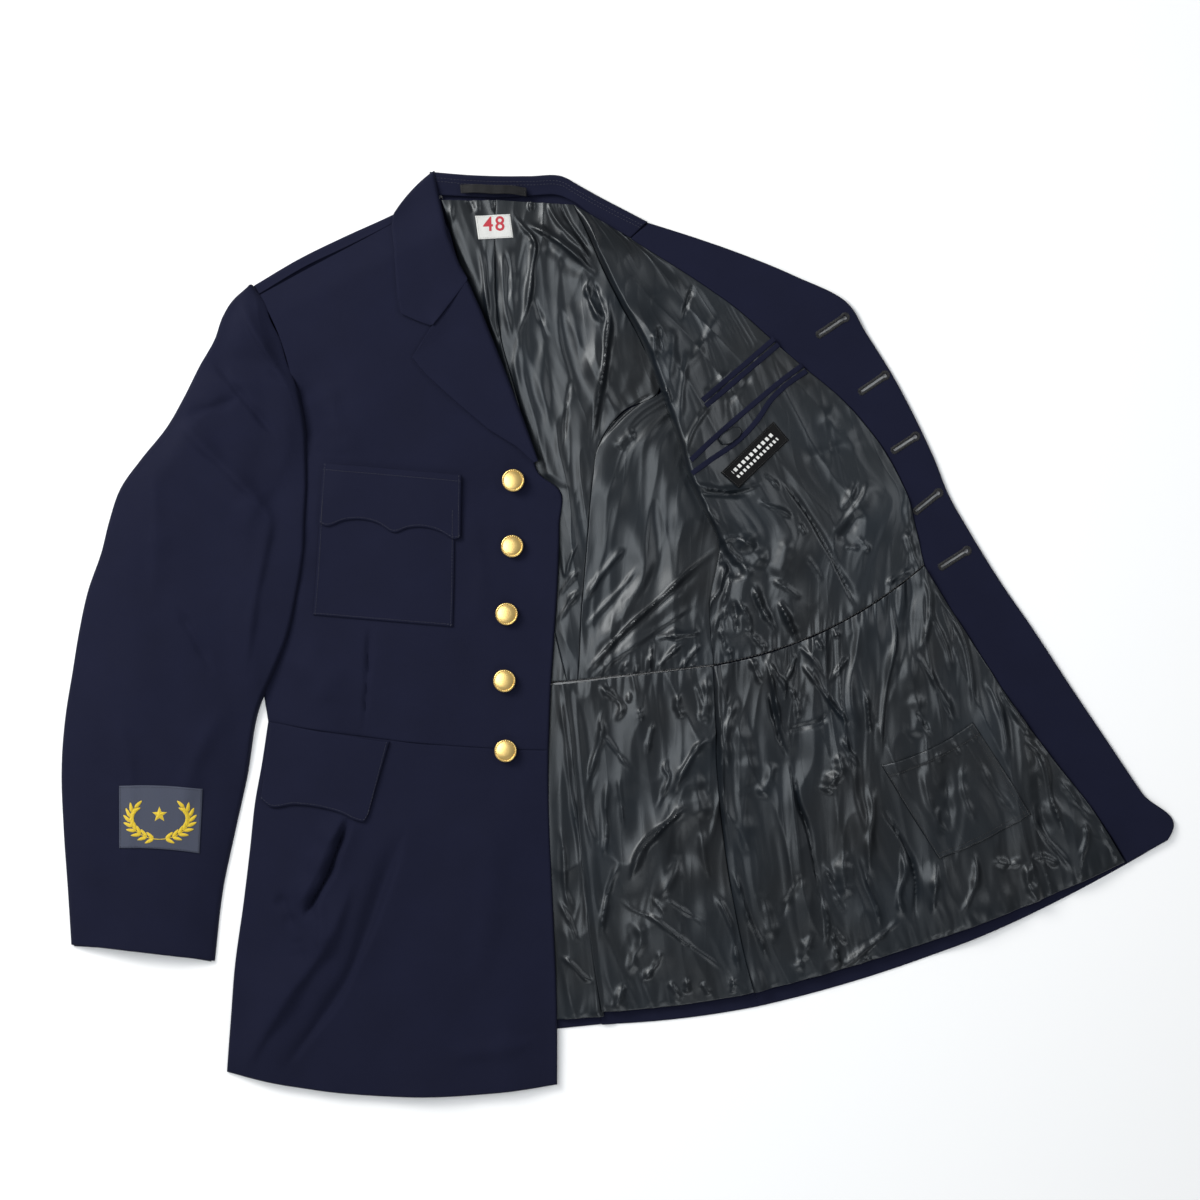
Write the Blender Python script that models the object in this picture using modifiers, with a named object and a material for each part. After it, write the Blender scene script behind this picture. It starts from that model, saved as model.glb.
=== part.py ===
"""Dress uniform jacket, lying on its back on a flat surface with its left front thrown open.

Tables are in millimetres: X runs across the jacket, Y towards its collar, Z up from the surface.
Every piece of cloth is a wall of its own, cut from rows that run across it and laid on the piece below.
"""
import math
from collections import namedtuple

import bmesh
import bpy

MM = 0.001

for old in list(bpy.data.objects):
    bpy.data.objects.remove(old)

# Cloth and gaps
WOOL = 1.8
SATIN = 1.2
TRIM = 1.2
SEAM = 0.15
LIE = 0.3
INTERLINING = 1.2

# Heights above the surface, to the upper face of the cloth
FOLDED_EDGE = 4.0
CHEST = 13.0
SKIRT = 11.0
FRONT_EDGE_DROP = 3.0
ARMHOLE_EDGE = 9.0
SLEEVE_ARCH = 11.0
SLEEVE_UNDER_LEFT_FRONT = 5.2
COLLAR_UNDER_NECK = 2.4
COLLAR_STAND_TOP = 9.8
LAPEL_ROLL = 2.5
ARMHOLE_ROLL = 10.0
ARMHOLE_SET_BACK = 12.0
COLLAR_FOLD = 4.0

# Buttons and buttonholes
BUTTON_RADIUS = 11.0
BUTTON_RIM = 1.6
BUTTON_DOME = 5.6
BUTTON_SHANK_RADIUS = 3.2
BUTTON_SHANK = 2.6
BUTTON_SIDES = 18
HOLE_WIDTH = 1.6
HOLE_EYE_RADIUS = 1.7
HOLE_SIDES = 8

Row = namedtuple("Row", "ax ay bx by bow")
LeftRow = namedtuple("LeftRow", "side_x side_y inner_x inner_y edge_x edge_y bow")
Fold = namedtuple("Fold", "x0 y0 x1 y1 width rise")
Spot = namedtuple("Spot", "x y u v across")
Slit = namedtuple("Slit", "eye_x eye_y tail_x tail_y")

# Right sleeve, from its outer fold to its inner fold, shoulder to cuff
SLEEVE_RIGHT = [
    Row(-341, 319, -336, 318, 0),
    Row(-352, 307, -327, 305, 0),
    Row(-362, 291, -319, 288, 0),
    Row(-369, 271, -312, 271, 0),
    Row(-383, 246, -304, 247, 0),
    Row(-397, 218, -295.5, 215, 0),
    Row(-413, 190, -286, 192, 0),
    Row(-437, 160, -283, 163, 0),
    Row(-456, 133, -282, 132, 0),
    Row(-466, 104, -283, 104, 0),
    Row(-473, 76, -284, 76, 0),
    Row(-486, 38, -291, 34, 0),
    Row(-494, 1, -300, -3, 0),
    Row(-500, -36, -313, -34, 0),
    Row(-506, -73, -328, -69, 0),
    Row(-510, -128, -339, -131, 0),
    Row(-508, -181, -350, -181, 0),
    Row(-504, -238, -362, -239, 0),
    Row(-501, -286, -369, -301, 2),
]

# Left sleeve, hidden under the open left front, armhole to cuff
SLEEVE_LEFT = [
    Row(36, 256, 114, 42, 0),
    Row(96, 228, 125, 25, 0),
    Row(160, 178, 146, -6, 0),
    Row(224, 104, 174, -52, 0),
    Row(280, 30, 211, -112, 0),
    Row(330, -43, 247, -167, 0),
    Row(381, -112, 289, -218, 0),
    Row(422, -167, 330, -259, 0),
]

# Right front above the waist seam, from the armhole and side to the roll line and front edge
FRONT_RIGHT = [
    Row(-330.5, 311, -171, 395, 0),
    Row(-322.5, 297, -156, 375, 0),
    Row(-312, 274, -146, 345, 0),
    Row(-303.5, 249, -134, 314, 0),
    Row(-297, 228, -119, 279, 0),
    Row(-294, 196, -102, 240, 0),
    Row(-298, 164, -87, 201, 0),
    Row(-309, 136, -77, 168, 0),
    Row(-326, 115, -70, 146, 0),
    Row(-330, 99, -53, 133, 0),
    Row(-332, 67, -52, 99, 0),
    Row(-332, 30, -54, 40, 0),
    Row(-330, -6, -57, -6, 0),
    Row(-326, -43, -60, -52, -3),
    Row(-320, -81, -62, -107, -5),
]

# Right front below the waist seam
FRONT_SKIRT_RIGHT = [
    Row(-320, -81, -62, -107, -5),
    Row(-326, -121, -62, -144, -6),
    Row(-332, -154, -61, -181, -7),
    Row(-337, -200, -59, -227, -9),
    Row(-343, -250, -57, -273, -11),
    Row(-350, -302, -55, -319, -13),
    Row(-354, -351, -54, -370, -14),
    Row(-358, -403, -54, -414, -16),
]

# The back, rolled forward over the right shoulder: from the outline to the shoulder seam
SHOULDER_RIGHT = [
    Row(-335.5, 319.5, -331, 312, 0),
    Row(-294, 343, -287, 336, 0),
    Row(-250, 365, -244, 357, 0),
    Row(-206, 385, -203, 378, 0),
    Row(-174, 401, -172, 396, 0),
]

# Back above the waist seam: right half from the armhole and side to the centre back seam
BACK_RIGHT = [
    Row(-333, 317, -167, 400, 0),
    Row(-324, 306, -139, 399, 0),
    Row(-315, 290, -110, 398, 0),
    Row(-308, 274, -111, 374, 0),
    Row(-300, 254, -111, 345, 0),
    Row(-295, 232, -110, 312, 0),
    Row(-292, 210, -106, 272, 0),
    Row(-292, 190, -93, 224, 0),
    Row(-299, 159, -82, 173, 0),
    Row(-309, 134, -78, 143, 0),
    Row(-320, 112, -74, 115, 0),
    Row(-330, 80, -69, 80, 0),
    Row(-331, 28, -62, 28, 0),
    Row(-320, -78, -45, -44, 0),
]
BACK_LEFT = [
    Row(-110, 398, -39, 393, 0),
    Row(-111, 374, -24, 362, 0),
    Row(-111, 345, -11, 332, 0),
    Row(-110, 312, 4, 302, 0),
    Row(-106, 272, 23, 268, 0),
    Row(-93, 224, 40, 225, 0),
    Row(-82, 173, 56, 178, 0),
    Row(-78, 143, 66, 143, 0),
    Row(-74, 115, 79, 115, 0),
    Row(-69, 80, 94, 83, 0),
    Row(-62, 28, 86, 30, 0),
    Row(-45, -44, 89, -29, 0),
]
BACK_SKIRT_RIGHT = [
    Row(-320, -79, -45, -46, 0),
    Row(-326, -117, -38, -89, 0),
    Row(-335, -200, -29, -199, 0),
    Row(-344, -292, -18, -292, 0),
    Row(-351, -384, -10, -359, -3),
]
BACK_SKIRT_LEFT = [
    Row(-43, -46, 89, -30, 0),
    Row(-36.5, -86, 91, -71, 0),
    Row(-32, -134, 92.5, -121, 0),
    Row(-27.5, -192, 98, -181, 0),
    Row(-22, -246, 106, -236, 0),
    Row(-15, -302, 117, -292, 0),
    Row(-8, -359, 131, -343, -3),
]

# Collar and lapels
COLLAR_LEAF = [
    Row(-204, 386, -166.5, 424.5, 3),
    Row(-206, 373, -161, 396, 0),
    Row(-203, 352, -153, 363, 0),
    Row(-201, 320, -143, 338, 0),
    Row(-200, 306, -135, 323, 0),
    Row(-197, 292, -151, 302, 0),
    Row(-184, 286, -161, 289, 0),
    Row(-170, 281, -167, 282, 0),
]
LAPEL_RIGHT = [
    Row(-167, 280, -134, 321, 0),
    Row(-187, 252, -123, 295, 0),
    Row(-174, 236, -111, 265, 0),
    Row(-143, 208, -98, 232, 0),
    Row(-117, 186, -87, 203, 0),
    Row(-91, 170, -78, 178, 0),
    Row(-76, 156, -71, 158, 0),
]
COLLAR_STAND = [
    Row(-165.8, 425, -162, 404, 0),
    Row(-134, 421, -134, 401, 0),
    Row(-107, 420, -107, 400, 0),
    Row(-79, 420, -75, 402, 0),
    Row(-50, 420, -52, 402, 0),
    Row(-33, 411, -37, 395, 0),
    Row(-15, 401, -22, 383, 0),
    Row(6, 390, -6, 373, 0),
    Row(29, 378, 13, 363, 0),
]
COLLAR_LEAF_UNDER = [
    Row(-162, 419, -157, 378, 0),
    Row(-134, 418, -134, 374, 0),
    Row(-107, 417, -107, 373, 0),
    Row(-75, 417, -76, 373, 0),
    Row(-52, 415, -59, 373, 0),
    Row(-24, 402, -47, 359, 0),
    Row(-1, 390, -24, 341, 0),
    Row(22, 378, -4, 320, 0),
    Row(38, 371, 19, 315, 0),
]
LAPEL_LEFT_UNDER = [
    Row(44, 368, 48, 328, 0),
    Row(68, 359, 55, 292, 0),
    Row(96, 348, 88, 288, 0),
    Row(132, 333, 132, 286, 0),
    Row(169, 318, 169, 292, 0),
    Row(201, 305, 199, 298, 0),
]

# Open left front: armhole and side, the facing's inner seam, and the front edge, shoulder to waist
FRONT_LEFT = [
    LeftRow(-39, 393, 13, 362, 30, 377, 0),
    LeftRow(-24, 362, 42, 344, 68, 365, 0),
    LeftRow(-11, 332, 73, 324, 114, 349, 0),
    LeftRow(4, 302, 109, 299, 165, 328, 0),
    LeftRow(23, 268, 142, 270, 212, 304, 0),
    LeftRow(40, 225, 174, 243, 230, 276, -2),
    LeftRow(56, 178, 209, 213, 255, 236, -4),
    LeftRow(66, 143, 234, 185, 274, 200, -6),
    LeftRow(79, 115, 252, 158, 292, 162, -8),
    LeftRow(94, 83, 266, 130, 306, 127, -10),
    LeftRow(86, 30, 275, 97, 324, 95, -13),
    LeftRow(89, -29, 282, 63, 336, 75, -15),
]
FRONT_SKIRT_LEFT = [
    LeftRow(89, -30, 282, 62, 337, 74, -15),
    LeftRow(91, -71, 301, 31, 353, 48, -14),
    LeftRow(92.5, -121, 328, -11, 382, 6, -13),
    LeftRow(98, -181, 362, -63, 416, -46, -12),
    LeftRow(106, -236, 399, -114, 451, -98, -11),
    LeftRow(117, -292, 436, -161, 484, -147, -10),
    LeftRow(130, -338, 467, -206, 510, -179, -9),
    LeftRow(131, -343, 470, -211, 505, -190, -9),
]
SHELL_HEM_BOW = -17
LINING_HEM = Row(127, -329, 467, -209.5, -9)

# Satin back lining: right of the centre back seam, left of it, and the side piece
LINING_BACK_RIGHT = [
    Row(-160, 397, -110, 397, 0),
    Row(-152, 370, -111, 374, 0),
    Row(-143, 335, -111, 345, 0),
    Row(-134, 300, -110, 312, 0),
    Row(-122, 262, -106, 272, 0),
    Row(-110, 222, -93, 224, 0),
    Row(-104, 190, -84, 190, 0),
    Row(-98, 160, -80, 160, 0),
    Row(-96, 140, -77, 140, 0),
    Row(-94, 115, -74, 115, 0),
    Row(-92, 80, -69, 80, 0),
    Row(-90, 28, -62, 28, 0),
    Row(-92, -47, -45, -44, 0),
]
LINING_BACK_LEFT = [
    Row(-110, 397, -39, 393, 0),
    Row(-111, 374, -24, 362, 0),
    Row(-111, 345, -11, 332, 0),
    Row(-110, 312, 4, 302, 0),
    Row(-106, 272, 23, 268, 0),
    Row(-93, 224, 37, 219, 0),
    Row(-84, 190, 8, 205, 0),
    Row(-80, 160, -16, 172, 0),
    Row(-77, 140, -21, 146, 0),
    Row(-74, 115, -24, 118, 0),
    Row(-69, 80, -27, 78, 0),
    Row(-62, 28, -31, 30, 0),
    Row(-45, -44, -35, -43, 0),
]
LINING_SIDE_LEFT = [
    Row(37.5, 218, 41.5, 221, 0),
    Row(8.5, 204, 46.5, 206, 0),
    Row(-16, 172, 56, 178, 0),
    Row(-21, 146, 66, 143, 0),
    Row(-24, 118, 79, 115, 0),
    Row(-27, 78, 94, 83, 0),
    Row(-31, 30, 86, 30, 0),
    Row(-35, -43, 89, -29, 0),
]
LINING_SKIRT_BACK_RIGHT = [
    Row(-92, -49, -45, -46, 0),
    Row(-92, -89, -38, -89, 0),
    Row(-90, -199, -29, -199, 0),
    Row(-86, -292, -18, -292, 0),
    Row(-84, -357, -11, -351, 0),
]
LINING_SKIRT_BACK_LEFT = [
    Row(-43.5, -46, 89, -30, 0),
    Row(-37, -86, 91, -71, 0),
    Row(-32.5, -134, 92.5, -121, 0),
    Row(-28, -192, 98, -181, 0),
    Row(-22.5, -246, 106, -236, 0),
    Row(-16, -298, 117, -292, 0),
    Row(-8, -346, 127, -329, -3),
]

# Pockets, flaps, badge and labels
CHEST_POCKET = [(-270, 122), (-277, 17), (-264, 13), (-149, 6), (-147, 113)]
CHEST_FLAP = [(-267, 156), (-141, 145), (-142, 88), (-147, 86), (-161, 93), (-179, 97), (-190, 96),
              (-203, 92), (-217, 100), (-233, 104), (-248, 103), (-266, 98), (-271, 101)]
HIP_FLAP = [(-316, -84), (-238, -96), (-207, -103), (-217, -136), (-226, -167), (-232, -171), (-251, -165),
            (-271, -159), (-297, -157), (-316, -159), (-324, -154), (-321, -121)]
SLEEVE_BADGE = [(-454, -139), (-424, -138), (-378, -142), (-381, -201), (-407, -197), (-454, -196)]
INNER_POCKET = [(242, -120), (326, -81), (379, -165), (295, -206)]
CARE_LABEL = [(96, 147), (144, 194), (158, 177), (112, 133)]
POCKET_TAB = [(99, 189), (107, 181), (101, 172), (95, 168), (89, 171), (88, 178), (92, 184)]
JETS = {
    "jet_chest_upper": [(79, 213), (145, 270)],
    "jet_chest_lower": [(82, 208), (149, 265)],
    "jet_main_upper": [(172, 246), (152, 232), (127, 212), (97, 184), (72, 158)],
    "jet_main_lower": [(177, 240), (154, 225), (135, 205), (110, 177), (82, 154), (76, 148)],
}
JET_WIDTH = 4.2
SIZE_LABEL = [Row(-129, 385, -97, 386, 0), Row(-127, 362, -94, 363, 0)]
HANGER_LOOP = [
    Row(-143, 411, -142, 403, 0),
    Row(-128, 411, -128, 403, 0),
    Row(-112, 410, -112, 402, 0),
    Row(-97, 410, -97, 402, 0),
    Row(-82, 408, -82, 400, 0),
]
BUTTONS = [(-94, 140), (-95, 80), (-100, 18), (-102, -43), (-101, -107)]
BUTTONHOLES = [
    Slit(210, 290, 186, 274),
    Slit(247, 237, 225, 222),
    Slit(275, 181, 255, 168),
    Slit(296, 129, 275, 112),
    Slit(322, 76, 298, 61),
]

# Largest folds of each cloth: from one end to the other, how wide, and how high
FOLDS_SKIRT_RIGHT = [
    Fold(-243, -164, -288, -262, 20, 4.5),
    Fold(-190, -160, -240, -300, 34, 3.0),
    Fold(-232, -262, -330, -408, 34, 4.0),
    Fold(-120, -300, -90, -420, 40, 2.0),
]
FOLDS_FRONT_RIGHT = [
    Fold(-300, 262, -230, 170, 40, 1.6),
    Fold(-212, 12, -232, -92, 26, 1.2),
]
FOLDS_SLEEVE_RIGHT = [
    Fold(-345, 298, -304, 236, 22, 3.0),
    Fold(-412, 196, -318, 130, 26, 4.0),
    Fold(-424, 172, -314, 96, 24, 4.5),
    Fold(-438, 160, -420, 70, 28, 2.0),
    Fold(-420, -20, -470, -120, 40, 2.0),
]
FOLDS_BACK = [
    Fold(-76, 360, -92, 262, 18, 2.4),
    Fold(-84, 374, -24, 330, 18, 2.8),
    Fold(-11, 318, -20, 190, 20, 3.4),
    Fold(-30, 250, 20, 232, 20, 2.6),
    Fold(-60, 200, -44, 60, 20, 2.6),
    Fold(-28, -34, 78, 62, 22, 4.0),
    Fold(-14, 150, 30, 60, 22, 3.0),
    Fold(30, 190, 62, 92, 20, 3.0),
    Fold(10, -36, 76, 6, 20, 3.0),
]
FOLDS_SKIRT_BACK = [
    Fold(84, -84, 50, -148, 20, 4.0),
    Fold(74, -147, 4, -236, 22, 4.5),
    Fold(20, -60, 8, -150, 22, 3.0),
    Fold(60, -210, 44, -310, 22, 3.5),
    Fold(90, -240, 60, -330, 20, 3.0),
    Fold(-66, -80, -56, -330, 20, 1.6),
]
FOLDS_FRONT_LEFT = [
    Fold(60, 330, 20, 260, 24, 2.4),
    Fold(118, 150, 180, 60, 26, 2.6),
    Fold(120, 70, 112, -10, 20, 4.0),
    Fold(150, 92, 158, 4, 20, 2.6),
    Fold(206, 180, 250, 90, 26, 2.0),
]
FOLDS_SKIRT_LEFT = [
    Fold(136, -16, 160, -110, 20, 4.0),
    Fold(178, 0, 216, -84, 20, 3.6),
    Fold(224, 20, 270, -50, 20, 3.4),
    Fold(108, -70, 112, -190, 20, 3.6),
    Fold(160, -130, 176, -270, 24, 4.0),
    Fold(214, -150, 234, -280, 24, 3.6),
    Fold(286, -214, 330, -262, 22, 3.0),
    Fold(330, -60, 392, -150, 22, 2.8),
    Fold(392, -160, 440, -214, 20, 2.6),
]

# Where the columns of a panel fall between its two edges
EVEN_4 = [i / 4 for i in range(5)]
EVEN_6 = [i / 6 for i in range(7)]
EVEN_8 = [i / 8 for i in range(9)]
EVEN_12 = [i / 12 for i in range(13)]
SLEEVE_COLUMNS = [0, 0.07, 0.2, 0.36, 0.52, 0.68, 0.82, 0.93, 1]
ROLL_COLUMNS = [0, 0.06, 0.12, 0.19, 0.27, 0.36, 0.46, 0.56, 0.66, 0.76, 0.84, 0.92, 1]
FACING_COLUMNS = [0, 0.34, 0.67, 1]

COLOURS = {
    "wool": ((0.012, 0.015, 0.034, 1), 0.9, 0),
    "satin": ((0.022, 0.027, 0.03, 1), 0.35, 0),
    "tape": ((0.01, 0.01, 0.012, 1), 0.7, 0),
    "label": ((0.8, 0.8, 0.78, 1), 0.8, 0),
    "badge": ((0.06, 0.075, 0.11, 1), 0.9, 0),
    "brass": ((0.8, 0.56, 0.2, 1), 0.25, 1),
}


def smooth(value):
    """Ease from 0 to 1."""
    value = min(max(value, 0.0), 1.0)
    return value * value * (3 - 2 * value)


def blend(rows, place):
    """Row at place, from 0 to 1, between the rows of a table."""
    step = place * (len(rows) - 1)
    index = min(int(step), len(rows) - 2)
    part = step - index
    return [before + (after - before) * part for before, after in zip(rows[index], rows[index + 1])]


def outline(rows):
    """Closed outline of a panel, down its first edge and back up its second."""
    return [(row.ax, row.ay) for row in rows] + [(row.bx, row.by) for row in reversed(rows)]


def distance(x, y, points):
    """Distance from a place to an outline, or 0 inside it."""
    inside = False
    nearest = math.inf
    for (x0, y0), (x1, y1) in zip(points, points[1:] + points[:1]):
        if (y0 > y) != (y1 > y) and x < (x1 - x0) * (y - y0) / (y1 - y0) + x0:
            inside = not inside
        length = (x1 - x0) ** 2 + (y1 - y0) ** 2
        along = min(max(((x - x0) * (x1 - x0) + (y - y0) * (y1 - y0)) / length, 0), 1)
        nearest = min(nearest, math.hypot(x - x0 - along * (x1 - x0), y - y0 - along * (y1 - y0)))
    return 0 if inside else nearest


def folds_at(x, y, folds):
    """Height that the soft folds of a table add at a place."""
    total = 0
    for fold in folds:
        run_x = fold.x1 - fold.x0
        run_y = fold.y1 - fold.y0
        length = math.hypot(run_x, run_y)
        along = ((x - fold.x0) * run_x + (y - fold.y0) * run_y) / length ** 2
        off = ((x - fold.x0) * run_y - (y - fold.y0) * run_x) / length
        ends = smooth((along + 0.1) / 0.3) * smooth((1.1 - along) / 0.3)
        total += fold.rise * ends * math.exp(-(off / fold.width) ** 2 * 2)
    return total


SIDE = [(row.ay, row.ax) for row in reversed(FRONT_RIGHT + FRONT_SKIRT_RIGHT[1:])]


def inside_side(x, y):
    """How far a place is inside the right side of the body, less than 0 outside it."""
    y = min(max(y, SIDE[0][0]), SIDE[-1][0])
    for (y0, x0), (y1, x1) in zip(SIDE, SIDE[1:]):
        if y <= y1:
            break
    return x - x0 - (x1 - x0) * (y - y0) / (y1 - y0)


def under_shoulder(x, y):
    """How far a place is below the fold of the right shoulder."""
    return (x + 334) * 0.4407 - (y - 321) * 0.8977


def front_right_top(x, y):
    """Upper face of the right front, which lies on the back and is folded to it at the side."""
    edge = FOLDED_EDGE + (ARMHOLE_EDGE - FOLDED_EDGE) * smooth((y - 236) / 40)
    body = CHEST + (SKIRT - CHEST) * smooth((-60 - y) / 100)
    level = edge + (body - edge) * smooth(inside_side(x, y) / 60)
    level = FOLDED_EDGE + (level - FOLDED_EDGE) * smooth(under_shoulder(x, y) / 40)
    level -= FRONT_EDGE_DROP * smooth((x + 150) / 90) * smooth((170 - y) / 60)
    level += collar_below(x, y)
    return level + folds_at(x, y, FOLDS_FRONT_RIGHT) + folds_at(x, y, FOLDS_SKIRT_RIGHT)


def collar_below(x, y):
    """Height of the collar leaf and lapel that are folded under the neck and the left front."""
    away = min(distance(x, y, outline(COLLAR_LEAF_UNDER)), distance(x, y, outline(LAPEL_LEFT_UNDER)))
    return COLLAR_UNDER_NECK * (1 - smooth((away - 3) / 40))


def back_top(x, y):
    """Upper face of the back, which lies on the surface."""
    return collar_below(x, y) + WOOL


def front_left_top(x, y):
    """Upper face of the left front's shell, lying open over the left sleeve."""
    away = distance(x, y, outline(SLEEVE_LEFT))
    return collar_below(x, y) + SLEEVE_UNDER_LEFT_FRONT * (1 - smooth((away - 3) / 60)) + WOOL


def back(spot):
    return back_top(spot.x, spot.y)


def front_right(spot):
    return front_right_top(spot.x, spot.y)


def front_left(spot):
    return front_left_top(spot.x, spot.y)


def facing(spot):
    return front_left_top(spot.x, spot.y) + INTERLINING + WOOL


def lining_back(spot):
    base = back_top(spot.x, spot.y) + INTERLINING + SATIN
    return base + folds_at(spot.x, spot.y, FOLDS_BACK) * smooth((spot.x + 75) / 40)


def lining_skirt_back(spot):
    base = back_top(spot.x, spot.y) + INTERLINING + SATIN
    return base + folds_at(spot.x, spot.y, FOLDS_SKIRT_BACK)


def lining_front_left(spot):
    """The lining rolls up over the armhole along its first edge, and lies on the shell beyond it."""
    base = front_left_top(spot.x, spot.y) + INTERLINING + SATIN
    armhole = smooth((spot.y - 70) / 40) * smooth((398 - spot.y) / 50)
    roll = ARMHOLE_ROLL * smooth(spot.across / 12) * (1 - smooth((spot.across - 12) / 45))
    dip = (front_left_top(spot.x, spot.y) - back_top(spot.x, spot.y)) * (1 - smooth(spot.across / 9))
    folds = folds_at(spot.x, spot.y, FOLDS_FRONT_LEFT)
    return base + armhole * roll - dip * smooth((spot.y - 40) / 40) + folds


def lining_skirt_left(spot):
    base = front_left_top(spot.x, spot.y) + INTERLINING + SATIN
    return base + folds_at(spot.x, spot.y, FOLDS_SKIRT_LEFT)


def under_sleeve(spot):
    """The sleeve lies on the surface, and climbs over the side of the body below the armhole."""
    inside = inside_side(spot.x, spot.y)
    climb = FOLDED_EDGE * smooth((inside + 30) / 30) + (CHEST - FOLDED_EDGE) * smooth(inside / 60)
    over = climb + 1.2 * smooth((inside + 30) / 30) + folds_at(spot.x, spot.y, FOLDS_FRONT_RIGHT)
    return over * (1 - smooth((spot.y - 226) / 22)) * smooth((spot.y + 150) / 60) + WOOL


def top_sleeve(spot):
    """Arched over the under sleeve, and level with the front along the armhole."""
    flat = under_sleeve(spot) + LIE + 0.2 + WOOL
    closed = SLEEVE_ARCH * (1 - abs(2 * spot.u - 1) ** 2.5)
    level = front_right_top(spot.x, spot.y) - flat
    joined = smooth(2.2 * spot.u) * level + 3 * (1 - (2 * spot.u - 1) ** 2)
    at_armhole = smooth((spot.y - 226) / 28)
    arch = closed * (1 - at_armhole) + joined * at_armhole
    middle = smooth(spot.u * 4) * smooth(4 - 4 * spot.u)
    return flat + arch + folds_at(spot.x, spot.y, FOLDS_SLEEVE_RIGHT) * middle


def collar_leaf(spot):
    return front_right_top(spot.x, spot.y) + INTERLINING + WOOL + LAPEL_ROLL * smooth((spot.u - 0.4) / 0.6)


def collar_stand(spot):
    """The band slopes from the collar's fold down to the neck seam."""
    low = back_top(spot.x, spot.y) + INTERLINING + SATIN
    return COLLAR_STAND_TOP + (low - COLLAR_STAND_TOP) * smooth(spot.u)


def collar_leaf_under(spot):
    return WOOL + COLLAR_FOLD * smooth((-20 - spot.x) / 30) * (1 - smooth(spot.across / 11))


def on_surface(spot):
    return WOOL


def top_sleeve_left(spot):
    return 2 * WOOL + 2 * LIE


def size_label(spot):
    return lining_back(spot) + 0.5 + TRIM


def hanger_loop(spot):
    """A tape that is sewn down at its ends and stands clear between them."""
    arch = 2.6 * (1 - (2 * spot.v - 1) ** 2)
    return COLLAR_STAND_TOP + 0.6 + TRIM + arch


def spot_on(rows, u, v):
    """Place on a panel: u from its first edge to its second, v down its rows."""
    ax, ay, bx, by, bow = blend(rows, v)
    span = math.hypot(bx - ax, by - ay)
    swell = bow * 4 * u * (1 - u)
    inset = SEAM * (1 - 2 * u)
    x = ax + (bx - ax) * u + (inset * (bx - ax) - swell * (by - ay)) / span
    y = ay + (by - ay) * u + (inset * (by - ay) + swell * (bx - ax)) / span
    return Spot(x, y, u, v, u * span)


def material(kind):
    """One plain material for each kind of cloth and trim."""
    found = bpy.data.materials.get(kind)
    if found:
        return found
    colour, roughness, metallic = COLOURS[kind]
    made = bpy.data.materials.new(kind)
    made.use_nodes = True
    shader = made.node_tree.nodes["Principled BSDF"]
    shader.inputs["Base Color"].default_value = colour
    shader.inputs["Roughness"].default_value = roughness
    shader.inputs["Metallic"].default_value = metallic
    return made


def keep(name, shape, kind, collection):
    """Turn a shape into a named object."""
    mesh = bpy.data.meshes.new(name)
    shape.to_mesh(mesh)
    shape.free()
    made = bpy.data.objects.new(name, mesh)
    collection.objects.link(made)
    if kind:
        mesh.materials.append(material(kind))
    return made


def sheet(rows, height, columns, fine, lift):
    """Open sheet of cloth: a grid whose points are moved on to the panel's rows."""
    shape = bmesh.new()
    steps = fine * (len(rows) - 1)
    bmesh.ops.create_grid(shape, x_segments=len(columns) - 1, y_segments=steps, size=0.5)
    for point in shape.verts:
        column = round((point.co.x + 0.5) * (len(columns) - 1))
        v = round((0.5 - point.co.y) * steps) / steps
        spot = spot_on(rows, columns[column], v)
        end = SEAM * (1 - 2 * v) / math.hypot(rows[-1].ax - rows[0].ax, rows[-1].ay - rows[0].ay)
        x = spot.x + (rows[-1].ax - rows[0].ax) * end
        y = spot.y + (rows[-1].ay - rows[0].ay) * end
        point.co = (x * MM, y * MM, (height(spot) + lift) * MM)
    bmesh.ops.triangulate(shape, faces=shape.faces[:], quad_method="FIXED")
    return shape


def thicken(shape, wall):
    """Give a sheet its wall: downwards below 0, upwards above it."""
    grown = bmesh.ops.extrude_face_region(shape, geom=shape.faces[:])
    for element in grown["geom"]:
        if isinstance(element, bmesh.types.BMVert):
            element.co.z += wall * MM
    bmesh.ops.recalc_face_normals(shape, faces=shape.faces[:])


def cloth(name, rows, height, columns, fine, kind="wool"):
    """A panel of cloth with its upper face at the given height."""
    shape = sheet(rows, height, columns, fine, 0)
    thicken(shape, -{"wool": WOOL, "satin": SATIN}.get(kind, TRIM))
    return keep(name, shape, kind, PIECES)


def prism(name, points):
    """Upright cutter with the given outline."""
    curve = bpy.data.curves.new(name, "CURVE")
    curve.dimensions = "2D"
    curve.fill_mode = "BOTH"
    curve.extrude = 60 * MM
    spline = curve.splines.new("POLY")
    spline.points.add(len(points) - 1)
    for target, (x, y) in zip(spline.points, points):
        target.co = (x * MM, y * MM, 0, 1)
    spline.use_cyclic_u = True
    drawn = bpy.data.objects.new(name, curve)
    CUTTERS.objects.link(drawn)
    bpy.context.view_layer.update()
    evaluated = drawn.evaluated_get(bpy.context.evaluated_depsgraph_get())
    shape = bmesh.new()
    shape.from_mesh(bpy.data.meshes.new_from_object(evaluated))
    bpy.data.objects.remove(drawn)
    bmesh.ops.remove_doubles(shape, verts=shape.verts[:], dist=0.01 * MM)
    bmesh.ops.recalc_face_normals(shape, faces=shape.faces[:])
    cutter = keep(name, shape, None, CUTTERS)
    cutter.hide_render = True
    cutter.display_type = "WIRE"
    return cutter


def cut(piece, cutter, operation):
    """Cut a piece with a cutter, or keep only what the cutter holds."""
    change = piece.modifiers.new(cutter.name, "BOOLEAN")
    change.object = cutter
    change.operation = operation
    change.solver = "EXACT"


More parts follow.
